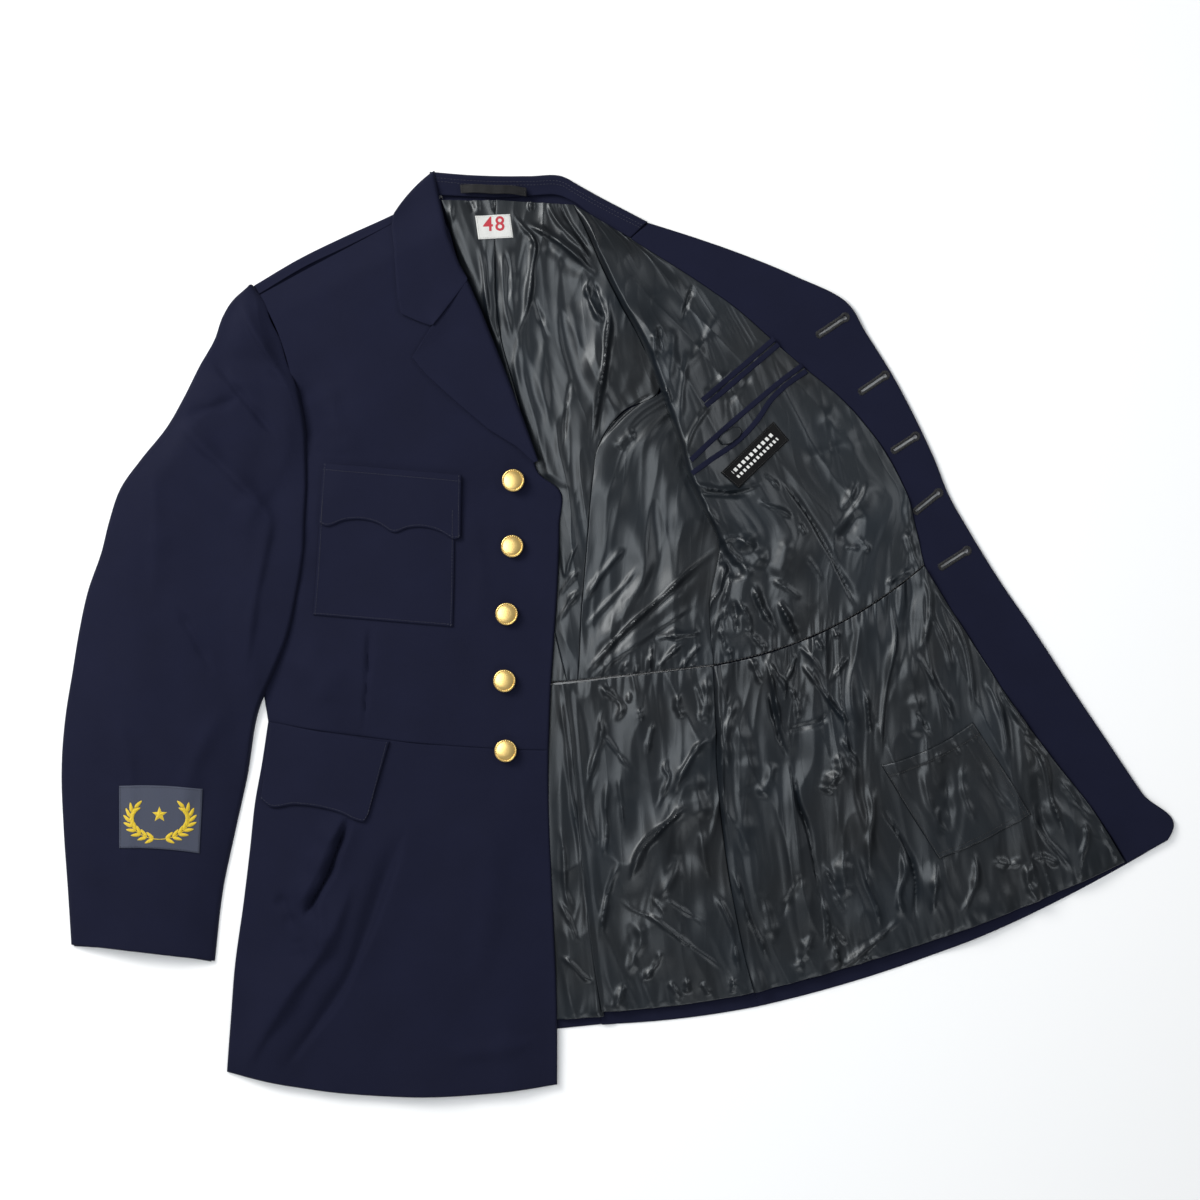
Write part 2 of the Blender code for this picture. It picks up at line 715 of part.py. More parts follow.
def patch(name, panel, points, lift, wall, kind):
    """A piece that lies on a panel: the panel's own points moved out, trimmed to an outline."""
    shape = sheet(*panel, lift)
    thicken(shape, wall)
    piece = keep(name, shape, kind, PIECES)
    cut(piece, prism(name + "_outline", points), "INTERSECT")
    return piece


def strip(points, width):
    """Outline of a strip of even width along a line of points."""
    left = []
    right = []
    for index, (x, y) in enumerate(points):
        x0, y0 = points[max(index - 1, 0)]
        x1, y1 = points[min(index + 1, len(points) - 1)]
        run = math.hypot(x1 - x0, y1 - y0)
        across_x = -(y1 - y0) / run * width / 2
        across_y = (x1 - x0) / run * width / 2
        left.append((x + across_x, y + across_y))
        right.append((x - across_x, y - across_y))
    return left + right[::-1]


def keyhole(slit):
    """Outline of a tailored buttonhole: a slit with a round eye at its outer end."""
    run_x = slit.tail_x - slit.eye_x
    run_y = slit.tail_y - slit.eye_y
    length = math.hypot(run_x, run_y)
    heading = math.atan2(run_y, run_x)
    opening = math.asin(HOLE_WIDTH / 2 / HOLE_EYE_RADIUS)
    points = []
    for index in range(HOLE_SIDES + 1):
        turn = heading + opening + (2 * math.pi - 2 * opening) * index / HOLE_SIDES
        across, along = HOLE_EYE_RADIUS * math.cos(turn), HOLE_EYE_RADIUS * math.sin(turn)
        points.append((slit.eye_x + across, slit.eye_y + along))
    side_x = -run_y / length * HOLE_WIDTH / 2
    side_y = run_x / length * HOLE_WIDTH / 2
    points.append((slit.tail_x - side_x, slit.tail_y - side_y))
    points.append((slit.tail_x + side_x, slit.tail_y + side_y))
    return points


def button(number, x, y):
    """Domed metal button on a shank, turned about its own axis."""
    top = BUTTON_SHANK + BUTTON_DOME
    profile = [
        (0, top),
        (0.45 * BUTTON_RADIUS, top - 0.5),
        (0.78 * BUTTON_RADIUS, top - 1.7),
        (0.86 * BUTTON_RADIUS, top - 2.9),
        (BUTTON_RADIUS, top - 3.1),
        (BUTTON_RADIUS, top - 3.1 - BUTTON_RIM),
        (BUTTON_SHANK_RADIUS, BUTTON_SHANK),
        (BUTTON_SHANK_RADIUS, 0),
        (0, 0),
    ]
    shape = bmesh.new()
    points = [shape.verts.new((radius * MM, 0, level * MM)) for radius, level in profile]
    for upper, lower in zip(points, points[1:]):
        shape.edges.new((upper, lower))
    made = keep("button_%d" % number, shape, "brass", PIECES)
    turn = made.modifiers.new("turn", "SCREW")
    turn.steps = BUTTON_SIDES
    turn.render_steps = BUTTON_SIDES
    turn.use_merge_vertices = True
    turn.merge_threshold = 0.00001
    reach = BUTTON_SHANK_RADIUS
    highest = max(front_right_top(x + dx, y + dy) for dx in (-reach, 0, reach) for dy in (-reach, 0, reach))
    made.location = (x * MM, y * MM, (highest + 2 * LIE) * MM)
    return made


def collection(name):
    made = bpy.data.collections.new(name)
    bpy.context.scene.collection.children.link(made)
    return made


PIECES = collection("dress_uniform_jacket")
CUTTERS = collection("cutters")


def shell_rows(rows, hem_bow=0):
    """The shell of the left front, from its side, or inside the rolled armhole, to its front edge."""
    shell = []
    for index, row in enumerate(rows):
        set_back = ARMHOLE_SET_BACK * smooth((row.side_y - 50) / 60)
        bow = hem_bow * index / (len(rows) - 1)
        shell.append(Row(row.side_x + set_back, row.side_y, row.edge_x, row.edge_y, bow))
    return shell


def lining_rows(rows):
    return [Row(row.side_x, row.side_y, row.inner_x, row.inner_y, row.bow) for row in rows]


def facing_rows(rows):
    return [Row(row.inner_x, row.inner_y, row.edge_x, row.edge_y, 0) for row in rows]


def make_back():
    cloth("back_right", BACK_RIGHT, back, EVEN_8, 1)
    cloth("back_left", BACK_LEFT, back, EVEN_6, 1)
    cloth("back_skirt_right", BACK_SKIRT_RIGHT, back, EVEN_8, 1)
    cloth("back_skirt_left", BACK_SKIRT_LEFT, back, EVEN_6, 1)


def make_front_right():
    upper = (FRONT_RIGHT, front_right, EVEN_12, 1)
    lower = (FRONT_SKIRT_RIGHT, front_right, EVEN_12, 2)
    cloth("front_right", *upper)
    cloth("front_skirt_right", *lower)
    cloth("back_shoulder_right", SHOULDER_RIGHT, front_right, [0, 0.5, 1], 2)
    patch("chest_pocket", upper, CHEST_POCKET, LIE, TRIM, "wool")
    patch("chest_flap", upper, CHEST_FLAP, 2 * LIE + TRIM, WOOL, "wool")
    patch("hip_flap", lower, HIP_FLAP, LIE, WOOL, "wool")
    for number, (x, y) in enumerate(BUTTONS, 1):
        button(number, x, y)


def make_collar():
    cloth("collar_leaf", COLLAR_LEAF, collar_leaf, EVEN_4, 1)
    cloth("lapel_right", LAPEL_RIGHT, collar_leaf, EVEN_4, 2)
    cloth("collar_stand", COLLAR_STAND, collar_stand, [0, 0.5, 1], 1)
    cloth("collar_leaf_under", COLLAR_LEAF_UNDER, collar_leaf_under, [0, 0.12, 0.24, 0.6, 1], 1)
    cloth("lapel_left_under", LAPEL_LEFT_UNDER, on_surface, [0, 0.5, 1], 1)
    cloth("hanger_loop", HANGER_LOOP, hanger_loop, [0, 1], 2, "tape")


def make_sleeves():
    cloth("under_sleeve_right", SLEEVE_RIGHT, under_sleeve, SLEEVE_COLUMNS, 1)
    cloth("top_sleeve_right", SLEEVE_RIGHT, top_sleeve, SLEEVE_COLUMNS, 1)
    cloth("under_sleeve_left", SLEEVE_LEFT, on_surface, EVEN_4, 1)
    cloth("top_sleeve_left", SLEEVE_LEFT, top_sleeve_left, EVEN_4, 1)
    panel = (SLEEVE_RIGHT, top_sleeve, SLEEVE_COLUMNS, 1)
    patch("sleeve_badge", panel, SLEEVE_BADGE, LIE, TRIM, "badge")


def make_front_left():
    upper = lining_rows(FRONT_LEFT)
    lower = lining_rows(FRONT_SKIRT_LEFT)[:-2] + [LINING_HEM]
    shell_upper = cloth("front_left", shell_rows(FRONT_LEFT), front_left, EVEN_12, 1)
    cloth("front_skirt_left", shell_rows(FRONT_SKIRT_LEFT, SHELL_HEM_BOW), front_left, EVEN_12, 1)
    facing_panel = facing_rows(FRONT_LEFT + FRONT_SKIRT_LEFT[1:])
    facing_piece = cloth("facing_left", facing_panel, facing, FACING_COLUMNS, 1)
    for number, slit in enumerate(BUTTONHOLES, 1):
        cutter = prism("buttonhole_%d" % number, keyhole(slit))
        cut(facing_piece, cutter, "DIFFERENCE")
        cut(shell_upper, cutter, "DIFFERENCE")
    bodice = (upper, lining_front_left, ROLL_COLUMNS, 2)
    skirt = (lower, lining_skirt_left, ROLL_COLUMNS, 3)
    cloth("lining_front_left", *bodice, "satin")
    cloth("lining_skirt_front_left", *skirt, "satin")
    for name, line in JETS.items():
        patch(name, bodice, strip(line, JET_WIDTH), LIE, TRIM, "wool")
    patch("care_label", bodice, CARE_LABEL, LIE, TRIM, "tape")
    patch("pocket_tab", bodice, POCKET_TAB, 2 * LIE + TRIM, TRIM, "wool")
    patch("inner_patch_pocket", skirt, INNER_POCKET, LIE, SATIN, "satin")


def make_lining_back():
    cloth("lining_back_right", LINING_BACK_RIGHT, lining_back, EVEN_4, 1, "satin")
    cloth("lining_back_left", LINING_BACK_LEFT, lining_back, EVEN_8, 2, "satin")
    cloth("lining_side_left", LINING_SIDE_LEFT, lining_back, EVEN_6, 2, "satin")
    cloth("lining_skirt_back_right", LINING_SKIRT_BACK_RIGHT, lining_skirt_back, EVEN_4, 2, "satin")
    cloth("lining_skirt_back_left", LINING_SKIRT_BACK_LEFT, lining_skirt_back, EVEN_8, 3, "satin")
    cloth("size_label", SIZE_LABEL, size_label, EVEN_4, 2, "label")


make_back()
make_front_right()
make_collar()
make_sleeves()
make_front_left()
make_lining_back()
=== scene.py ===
"""Dress uniform jacket, laid on its back with its left front thrown open: the finish of every piece.

Tables are in millimetres, in the frame of the solids: X runs across the jacket, Y towards its collar, Z up.
Every piece of cloth is a grid that is moved on to its cut, given its folds and creases, and given its wall.
"""
import math
from collections import namedtuple

import bpy
import numpy as np
from bpy.props import FloatProperty, FloatVectorProperty, PointerProperty, StringProperty
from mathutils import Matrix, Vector
from mathutils.bvhtree import BVHTree


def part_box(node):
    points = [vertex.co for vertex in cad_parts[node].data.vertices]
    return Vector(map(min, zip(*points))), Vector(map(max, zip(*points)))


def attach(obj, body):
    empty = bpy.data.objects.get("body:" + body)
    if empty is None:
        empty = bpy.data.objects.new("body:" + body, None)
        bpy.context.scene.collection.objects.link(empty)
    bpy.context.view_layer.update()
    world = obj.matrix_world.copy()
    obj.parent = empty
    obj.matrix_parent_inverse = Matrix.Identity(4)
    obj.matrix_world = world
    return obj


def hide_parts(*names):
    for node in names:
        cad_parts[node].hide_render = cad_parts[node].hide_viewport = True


bl_info = {
    "name": "Dress uniform jacket",
    "version": (1, 0, 0),
    "blender": (4, 5, 0),
    "location": "3D View > Sidebar > Jacket",
    "description": "Makes the cloth, lining, buttons and trimmings of a dress uniform jacket laid flat",
    "category": "Add Mesh",
}

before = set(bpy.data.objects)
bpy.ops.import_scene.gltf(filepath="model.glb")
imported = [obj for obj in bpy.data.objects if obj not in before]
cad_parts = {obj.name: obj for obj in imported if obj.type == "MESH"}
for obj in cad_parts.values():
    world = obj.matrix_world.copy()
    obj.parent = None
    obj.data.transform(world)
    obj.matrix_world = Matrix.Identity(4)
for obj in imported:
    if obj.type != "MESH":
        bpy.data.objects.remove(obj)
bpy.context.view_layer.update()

MM = 0.001

# Cloth and gaps
WOOL = 1.8
SATIN = 1.2
TRIM = 1.2
LIE = 0.3
INTERLINING = 1.2

# Heights above the surface, to the upper face of the cloth
FOLDED_EDGE = 4.0
CHEST = 13.0
SKIRT = 11.0
FRONT_EDGE_DROP = 3.0
ARMHOLE_EDGE = 9.0
SLEEVE_ARCH = 11.0
SLEEVE_UNDER_LEFT_FRONT = 5.2
COLLAR_UNDER_NECK = 2.4
COLLAR_STAND_TOP = 9.8
LAPEL_ROLL = 2.5
ARMHOLE_ROLL = 10.0
ARMHOLE_SET_BACK = 12.0
COLLAR_FOLD = 4.0
VENT_RISE = 1.95
VENT_LAP = 5.0

# Buttonholes
HOLE_WIDTH = 2.1
HOLE_EYE_RADIUS = 2.1

# Camera and lights, in metres and watts
CAMERA_PLACE = (-0.0147, 0.0308, 2.0)
CAMERA_LENS = 65.2
SKY_STRENGTH = 0.2
LIGHTS = [
    ("key", (-1.3, 1.0, 1.25), (1.0, 0.8), 38, (1.0, 0.99, 0.97)),
    ("window", (-0.72, 0.1, 1.85), (0.9, 0.9), 14, (0.93, 0.97, 1.0)),
    ("fill", (1.3, 0.6, 1.4), (0.9, 0.7), 8, (0.96, 0.98, 1.0)),
    ("low", (0.3, -1.5, 1.3), (1.2, 0.6), 8, (0.97, 0.99, 1.0)),
]

Row = namedtuple("Row", "ax ay bx by bow", defaults=[0])
LeftRow = namedtuple("LeftRow", "side_x side_y inner_x inner_y edge_x edge_y bow")
Fold = namedtuple("Fold", "x0 y0 x1 y1 width rise")
Slit = namedtuple("Slit", "eye_x eye_y tail_x tail_y")
Crease = namedtuple("Crease", "width rise lean line")


def rows(table):
    return [Row(*line) for line in table]


def left_rows(table):
    return [LeftRow(*line) for line in table]


def folds(table):
    return [Fold(*line) for line in table]


def slits(table):
    return [Slit(*line) for line in table]


def creases(table):
    """Creases from their half width, height and lean, and then the places on their line."""
    return [Crease(*line[:3], list(zip(line[3::2], line[4::2]))) for line in table]


# Right sleeve, from its outer fold to its inner fold, shoulder to cuff
SLEEVE_RIGHT = rows([
    (-338, 319.5, -334, 320.5), (-352, 307, -323, 305), (-362, 291, -317, 288), (-369, 271, -308.5, 271),
    (-383, 246, -301.5, 247), (-397, 218, -290, 219), (-413, 190, -284.7, 192), (-437, 160, -283, 163),
    (-456, 133, -282, 132), (-466, 104, -283, 104), (-473, 76, -284, 76), (-486, 38, -291, 34),
    (-494, 1, -300, -3), (-500, -36, -313, -34), (-506, -73, -328, -69), (-510, -128, -339, -131),
    (-508, -181, -350, -181), (-504, -238, -362, -239), (-501, -286, -369, -301, 2),
])

# Left sleeve, hidden under the open left front, armhole to cuff
SLEEVE_LEFT = rows([
    (36, 256, 114, 42), (96, 228, 125, 25), (160, 178, 146, -6), (224, 104, 174, -52), (280, 30, 211, -112),
    (330, -43, 247, -167), (381, -112, 289, -218), (422, -167, 330, -259),
])

# Right front above the waist seam, from the armhole and side to the roll line and front edge
FRONT_RIGHT = rows([
    (-327, 311, -171, 395), (-319.8, 297, -156, 375), (-309.3, 274, -146, 345), (-301.5, 249, -134, 314),
    (-297, 228, -119, 279), (-294, 196, -102, 240), (-298, 164, -87, 201), (-309, 136, -77, 168),
    (-326, 115, -70, 146), (-330, 99, -53, 133), (-332, 67, -52, 99), (-332, 30, -54, 40),
    (-330, -6, -57, -6), (-326, -43, -60, -52, -3), (-320, -81, -62, -107, -5),
])

# Right front below the waist seam
FRONT_SKIRT_RIGHT = rows([
    (-320, -81, -62, -107, -5), (-326, -121, -62, -144, -6), (-332, -154, -61, -181, -7),
    (-337, -200, -59, -227, -9), (-343, -250, -57, -273, -11), (-350, -302, -55, -319, -13),
    (-354, -351, -54, -370, -14), (-358, -403, -54, -414, -16),
])

# The back, rolled forward over the right shoulder: from the outline to the shoulder seam
SHOULDER_RIGHT = rows([
    (-332.5, 320.5, -327.5, 312), (-294, 343, -287, 336), (-250, 365, -244, 357), (-206, 385, -203, 378),
    (-174, 401, -172, 396),
])

# Back above the waist seam: right half from the armhole and side to the centre back seam
BACK_RIGHT = rows([
    (-336, 318, -167, 400), (-330, 306, -139, 399), (-322, 290, -110, 398), (-315, 274, -111, 374),
    (-308, 254, -111, 345), (-302, 232, -110, 312), (-298, 210, -106, 272), (-296, 190, -93, 224),
    (-299, 159, -82, 173), (-309, 134, -78, 143), (-320, 112, -74, 115), (-330, 80, -69, 80),
    (-331, 28, -62, 28), (-320, -78, -45, -44),
])
BACK_LEFT = rows([
    (-110, 398, -39, 393), (-111, 374, -24, 362), (-111, 345, -11, 332), (-110, 312, 4, 302),
    (-106, 272, 23, 268), (-93, 224, 40, 225), (-82, 173, 56, 178), (-78, 143, 66, 143), (-74, 115, 79, 115),
    (-69, 80, 94, 83), (-62, 28, 86, 30), (-45, -44, 89, -29),
])
BACK_SKIRT_RIGHT = rows([
    (-320, -79, -45, -46), (-326, -117, -38, -89), (-335, -200, -29, -199), (-344, -292, -18, -292),
    (-351, -384, -10, -359, -3),
])
BACK_SKIRT_LEFT = rows([
    (-43, -46, 89, -30), (-36.5, -86, 91, -71), (-32, -134, 92.5, -121), (-27.5, -192, 98, -181),
    (-22, -246, 106, -236), (-15, -302, 117, -292), (-8, -359, 131, -343, -3),
])

# Collar and lapels
COLLAR_LEAF = rows([
    (-204, 386, -166.5, 424.5, 3), (-206, 373, -161, 396), (-203, 352, -153, 363), (-201, 320, -143, 338),
    (-200, 306, -135, 323), (-197, 292, -151, 302), (-184, 286, -161, 289), (-170, 281, -167, 282),
])
LAPEL_RIGHT = rows([
    (-168.3, 281.3, -135.3, 322.3), (-187, 252, -123, 295), (-174, 236, -111, 265), (-143, 208, -98, 232),
    (-117, 186, -87, 203), (-91, 170, -78, 178), (-76, 156, -71, 158),
])
COLLAR_STAND = rows([
    (-171, 424, -168, 402.5), (-134, 421, -134, 401), (-107, 420, -107, 400), (-79, 420, -75, 402),
    (-50, 420, -52, 402), (-33, 411, -37, 395), (-15, 401, -22, 383), (6, 390, -6, 373), (29, 378, 13, 363),
])
COLLAR_LEAF_UNDER = rows([
    (-162, 419, -157, 378), (-134, 418, -134, 374), (-107, 417, -107, 373), (-75, 417, -76, 373),
    (-52, 415, -59, 373), (-24, 402, -47, 359), (-1, 390, -24, 341), (22, 378, -4, 320), (38, 371, 19, 315),
])
LAPEL_LEFT_UNDER = rows([
    (44, 368, 48, 328), (68, 359, 55, 292), (96, 348, 88, 288), (132, 333, 132, 286), (169, 318, 169, 292),
    (201, 305, 199, 298),
])

# Open left front: armhole and side, the facing's inner seam, and the front edge, shoulder to waist
FRONT_LEFT = left_rows([
    (-39, 393, 13, 362, 30, 377, 0), (-24, 362, 42, 344, 68, 365, 0), (-11, 332, 73, 324, 114, 349, 0),
    (4, 302, 109, 299, 165, 328, 0), (23, 268, 142, 270, 212, 304, 0), (40, 225, 174, 243, 230, 276, -2),
    (56, 178, 209, 213, 255, 236, -4), (66, 143, 234, 185, 274, 200, -6), (79, 115, 252, 158, 292, 162, -8),
    (94, 83, 266, 130, 306, 127, -10), (86, 30, 275, 97, 324, 95, -13), (89, -29, 282, 63, 336, 75, -15),
])
FRONT_SKIRT_LEFT = left_rows([
    (89, -30, 282, 62, 337, 74, -15), (91, -71, 301, 31, 353, 48, -14), (92.5, -121, 328, -11, 382, 6, -13),
    (98, -181, 362, -63, 416, -46, -12), (106, -236, 399, -114, 451, -98, -11),
    (117, -292, 436, -161, 484, -147, -10), (130, -338, 467, -206, 511, -183, -9),
    (131, -343, 470, -211, 507, -190, -9),
])
SHELL_HEM_BOW = -17
LINING_HEM = Row(127, -329, 467, -209.5, -9)

# Satin back lining: right of the centre back seam, left of it, and the side piece
LINING_BACK_RIGHT = rows([
    (-160, 397, -110, 397), (-152, 370, -111, 374), (-143, 335, -111, 345), (-134, 300, -110, 312),
    (-122, 262, -106, 272), (-110, 222, -93, 224), (-104, 190, -84, 190), (-98, 160, -80, 160),
    (-96, 140, -77, 140), (-94, 115, -74, 115), (-92, 80, -69, 80), (-90, 28, -62, 28), (-92, -47, -45, -44),
])
LINING_BACK_LEFT = rows([
    (-110, 397, -39, 393), (-111, 374, -24, 362), (-111, 345, -11, 332), (-110, 312, 4, 302),
    (-106, 272, 23, 268), (-93, 224, 37, 219), (-84, 190, 8, 205), (-80, 160, -16, 172), (-77, 140, -21, 146),
    (-74, 115, -24, 118), (-69, 80, -27, 78), (-62, 28, -31, 30), (-45, -44, -35, -43),
])
LINING_SIDE_LEFT = rows([
    (37.5, 218, 41.5, 221), (8.5, 204, 46.5, 206), (-16, 172, 56, 178), (-21, 146, 66, 143),
    (-24, 118, 79, 115), (-27, 78, 94, 83), (-31, 30, 86, 30), (-35, -43, 89, -29),
])
LINING_SKIRT_BACK_RIGHT = rows([
    (-92, -49, -45, -46), (-92, -89, -38, -89), (-90, -199, -29, -199), (-86, -292, -18, -292),
    (-84, -357, -11, -351),
])
LINING_SKIRT_BACK_LEFT = rows([
    (-43.5, -46, 89, -30), (-37, -86, 91, -71), (-32.5, -134, 92.5, -121), (-28, -192, 98, -181),
    (-22.5, -246, 106, -236), (-16, -298, 117, -292), (-8, -346, 127, -329, -3),
])

# Pockets, flaps, badge and labels
JETS = {
    "jet_chest_upper": [(79, 213), (145, 270)],
    "jet_chest_lower": [(82, 208), (149, 265)],
    "jet_main_upper": [(171, 246), (152, 232), (134, 217), (107, 194), (87, 176), (68, 158)],
    "jet_main_lower": [(175, 241), (154, 226), (142, 214), (129, 195), (111, 176), (87, 159), (69, 146)],
}
JET_WIDTH = 5.0
SIZE_LABEL = rows([
    (-129, 382.5, -97, 384), (-126, 361, -94, 362.5),
])
HANGER_LOOP = rows([
    (-143, 411, -142, 403), (-128, 411, -128, 403), (-112, 410, -112, 402), (-97, 410, -97, 402),
    (-82, 408, -82, 400),
])
BUTTONS = [(-94, 140), (-95, 80), (-100, 18), (-102, -43), (-101, -107)]
BUTTONHOLES = slits([
    (210, 290, 186, 274), (247, 237, 225, 222), (275, 181, 255, 168), (296, 129, 275, 112),
    (322, 76, 298, 61),
])

# Largest folds of each cloth: from one end to the other, how wide, and how high
FOLDS_SKIRT_RIGHT = folds([
    (-243, -164, -288, -262, 20, 4.5), (-190, -160, -240, -300, 34, 3.0), (-232, -262, -330, -408, 34, 4.0),
    (-120, -300, -90, -420, 40, 2.0),
])
FOLDS_FRONT_RIGHT = folds([
    (-300, 262, -230, 170, 40, 1.6), (-212, 12, -232, -92, 26, 1.2),
])
FOLDS_SLEEVE_RIGHT = folds([
    (-345, 298, -304, 236, 22, 3.0), (-412, 196, -318, 130, 26, 4.0), (-424, 172, -314, 96, 24, 4.5),
    (-438, 160, -420, 70, 28, 2.0), (-420, -20, -470, -120, 40, 2.0),
])
FOLDS_BACK = folds([
    (-76, 360, -92, 262, 18, 2.4), (-84, 374, -24, 330, 18, 2.8), (-11, 318, -20, 190, 20, 3.4),
    (-30, 250, 20, 232, 20, 2.6), (-60, 200, -44, 60, 20, 2.6), (-28, -34, 78, 62, 22, 4.0),
    (-14, 150, 30, 60, 22, 3.0), (30, 190, 62, 92, 20, 3.0), (10, -36, 76, 6, 20, 3.0),
])
FOLDS_SKIRT_BACK = folds([
    (84, -84, 50, -148, 20, 4.0), (74, -147, 4, -236, 22, 4.5), (20, -60, 8, -150, 22, 3.0),
    (60, -210, 44, -310, 22, 3.5), (90, -240, 60, -330, 20, 3.0), (-66, -80, -56, -330, 20, 1.6),
])
FOLDS_FRONT_LEFT = folds([
    (60, 330, 20, 260, 24, 2.4), (118, 150, 180, 60, 26, 2.6), (120, 70, 112, -10, 20, 4.0),
    (150, 92, 158, 4, 20, 2.6), (206, 180, 250, 90, 26, 2.0),
])
FOLDS_SKIRT_LEFT = folds([
    (136, -16, 160, -110, 20, 4.0), (178, 0, 216, -84, 20, 3.6), (224, 20, 270, -50, 20, 3.4),
    (108, -70, 112, -190, 20, 3.6), (160, -130, 176, -270, 24, 4.0), (214, -150, 234, -280, 24, 3.6),
    (286, -214, 330, -262, 22, 3.0), (330, -60, 392, -150, 22, 2.8), (392, -160, 440, -214, 20, 2.6),
])

# Creases of the satin and of the wool: half width, height, lean to one side, and the line that each follows
CREASES_BACK = creases([
    (2.2, 1.6, 0, -126, 361, -122, 340, -120, 317, -117, 291, -112, 269, -109, 257),
    (1.6, -1.4, 0, -111, 362, -111, 340, -110, 313, -108, 282, -106, 255),
    (2.4, 1.4, 0, -104, 356, -104, 327, -102, 299, -98, 282, -95, 264),
    (2.2, 2.4, -0.3, -91, 393, -94, 385, -86, 374, -77, 364, -73, 354, -77, 334, -78, 317, -83, 291, -93,
     267), (2, -1.2, 0, -83, 369, -78, 362, -76, 351),
    (2.6, 2.8, 0.4, -86, 377, -76, 372, -62, 365, -49, 356, -35, 344, -25, 334, -16, 326),
    (7, -2, 0, -69, 361, -52, 347, -35, 334, -28, 323),
    (2.2, 1.8, 0, -62, 402, -61, 390, -54, 377, -45, 368, -33, 356, -21, 337),
    (2, -1.6, 0, -52, 402, -49, 388, -41, 374, -30, 359, -21, 345),
    (2.4, 2, 0.3, -76, 402, -79, 393, -78, 386),
    (2, 1.4, 0, -152, 402, -150, 391, -152, 379, -148, 362, -139, 342, -131, 327),
    (2, -1.4, 0, -137, 401, -133, 393, -130, 386), (1.6, 1, 0, -126, 399, -127, 393, -126, 387),
    (1.6, -1, 0, -112, 399, -112, 386), (2.4, 2.4, 0, -23, 327, -28, 317, -23, 303, -17, 291, -11, 283),
    (2, -1.6, 0, -21, 324, -17, 311, -12, 298, -10, 288),
    (2.4, 3, 0.4, -10, 313, -7, 299, -7, 284, -9, 271, -10, 248, -14, 228, -18, 206, -22, 170),
    (4, -1.6, 0, -4, 274, -8, 240, -13, 214, -17, 189, -19, 169),
    (1.6, -1.2, 0, -40, 238, -44, 221, -46, 199, -48, 169),
    (5, 1.4, 0, -69, 291, -66, 265, -69, 231, -62, 197, -59, 169),
    (3, 1.4, 0, -85, 282, -91, 264, -93, 248, -90, 228, -86, 208, -78, 189, -72, 169),
    (2, -1.2, 0, -76, 310, -69, 289, -62, 269), (8, 1.6, 0, -40, 306, -35, 282, -37, 257, -30, 231),
    (1.6, -1.6, 0, -17, 170, -8, 185, 8, 202, 25, 215, 36, 220), (4, 1.6, 0, 1, 169, 9, 180, 19, 184),
    (2.2, 1.8, 0, -57, 5, -50, 16, -42, 30, -32, 42), (2, 1.4, 0, -55, 30, -46, 44, -33, 60),
    (2, 1.4, 0, -51, 86, -50, 67, -47, 50, -42, 69, -34, 86), (2.6, 2, 0.3, -30, 26, -21, 43, -7, 62, 10, 81),
    (2.4, 1.4, -0.2, -30, 3, -14, 23, 5, 42, 22, 65), (6, 2, 0.2, -25, -19, -8, 0, 13, 28, 28, 54, 37, 80),
    (2, 2.4, -0.6, -33, -41, -21, -27, -4, -8, 20, 16, 43, 35, 65, 57, 87, 74, 96, 82),
    (3, -1.6, 0, -28, -44, -14, -27, 11, 1, 35, 21, 60, 43, 80, 60),
    (3, 1.4, 0.4, -24, -42, 5, -19, 31, -1, 58, 17, 76, 29), (1.5, 1.2, 0, -13, -36, -10, -29),
    (1.5, 1.4, 0, 5, -36, 10, -25), (1.6, 1.8, 0, 30, -36, 32, -19, 34, -6),
    (1.6, 1.8, 0, 36, -35, 47, -20, 62, -8), (1.6, 1.6, 0, 58, -34, 69, -19, 78, -9),
    (1.5, 1.2, 0, 18, -37, 20, -29), (1.5, 1.2, 0, 69, -32, 73, -25),
    (3, 2.6, 0.3, 35, -5, 50, -2, 69, -1, 80, 3), (3, 1.2, 0.4, -101, 356, -96, 340, -95, 320, -97, 296),
])
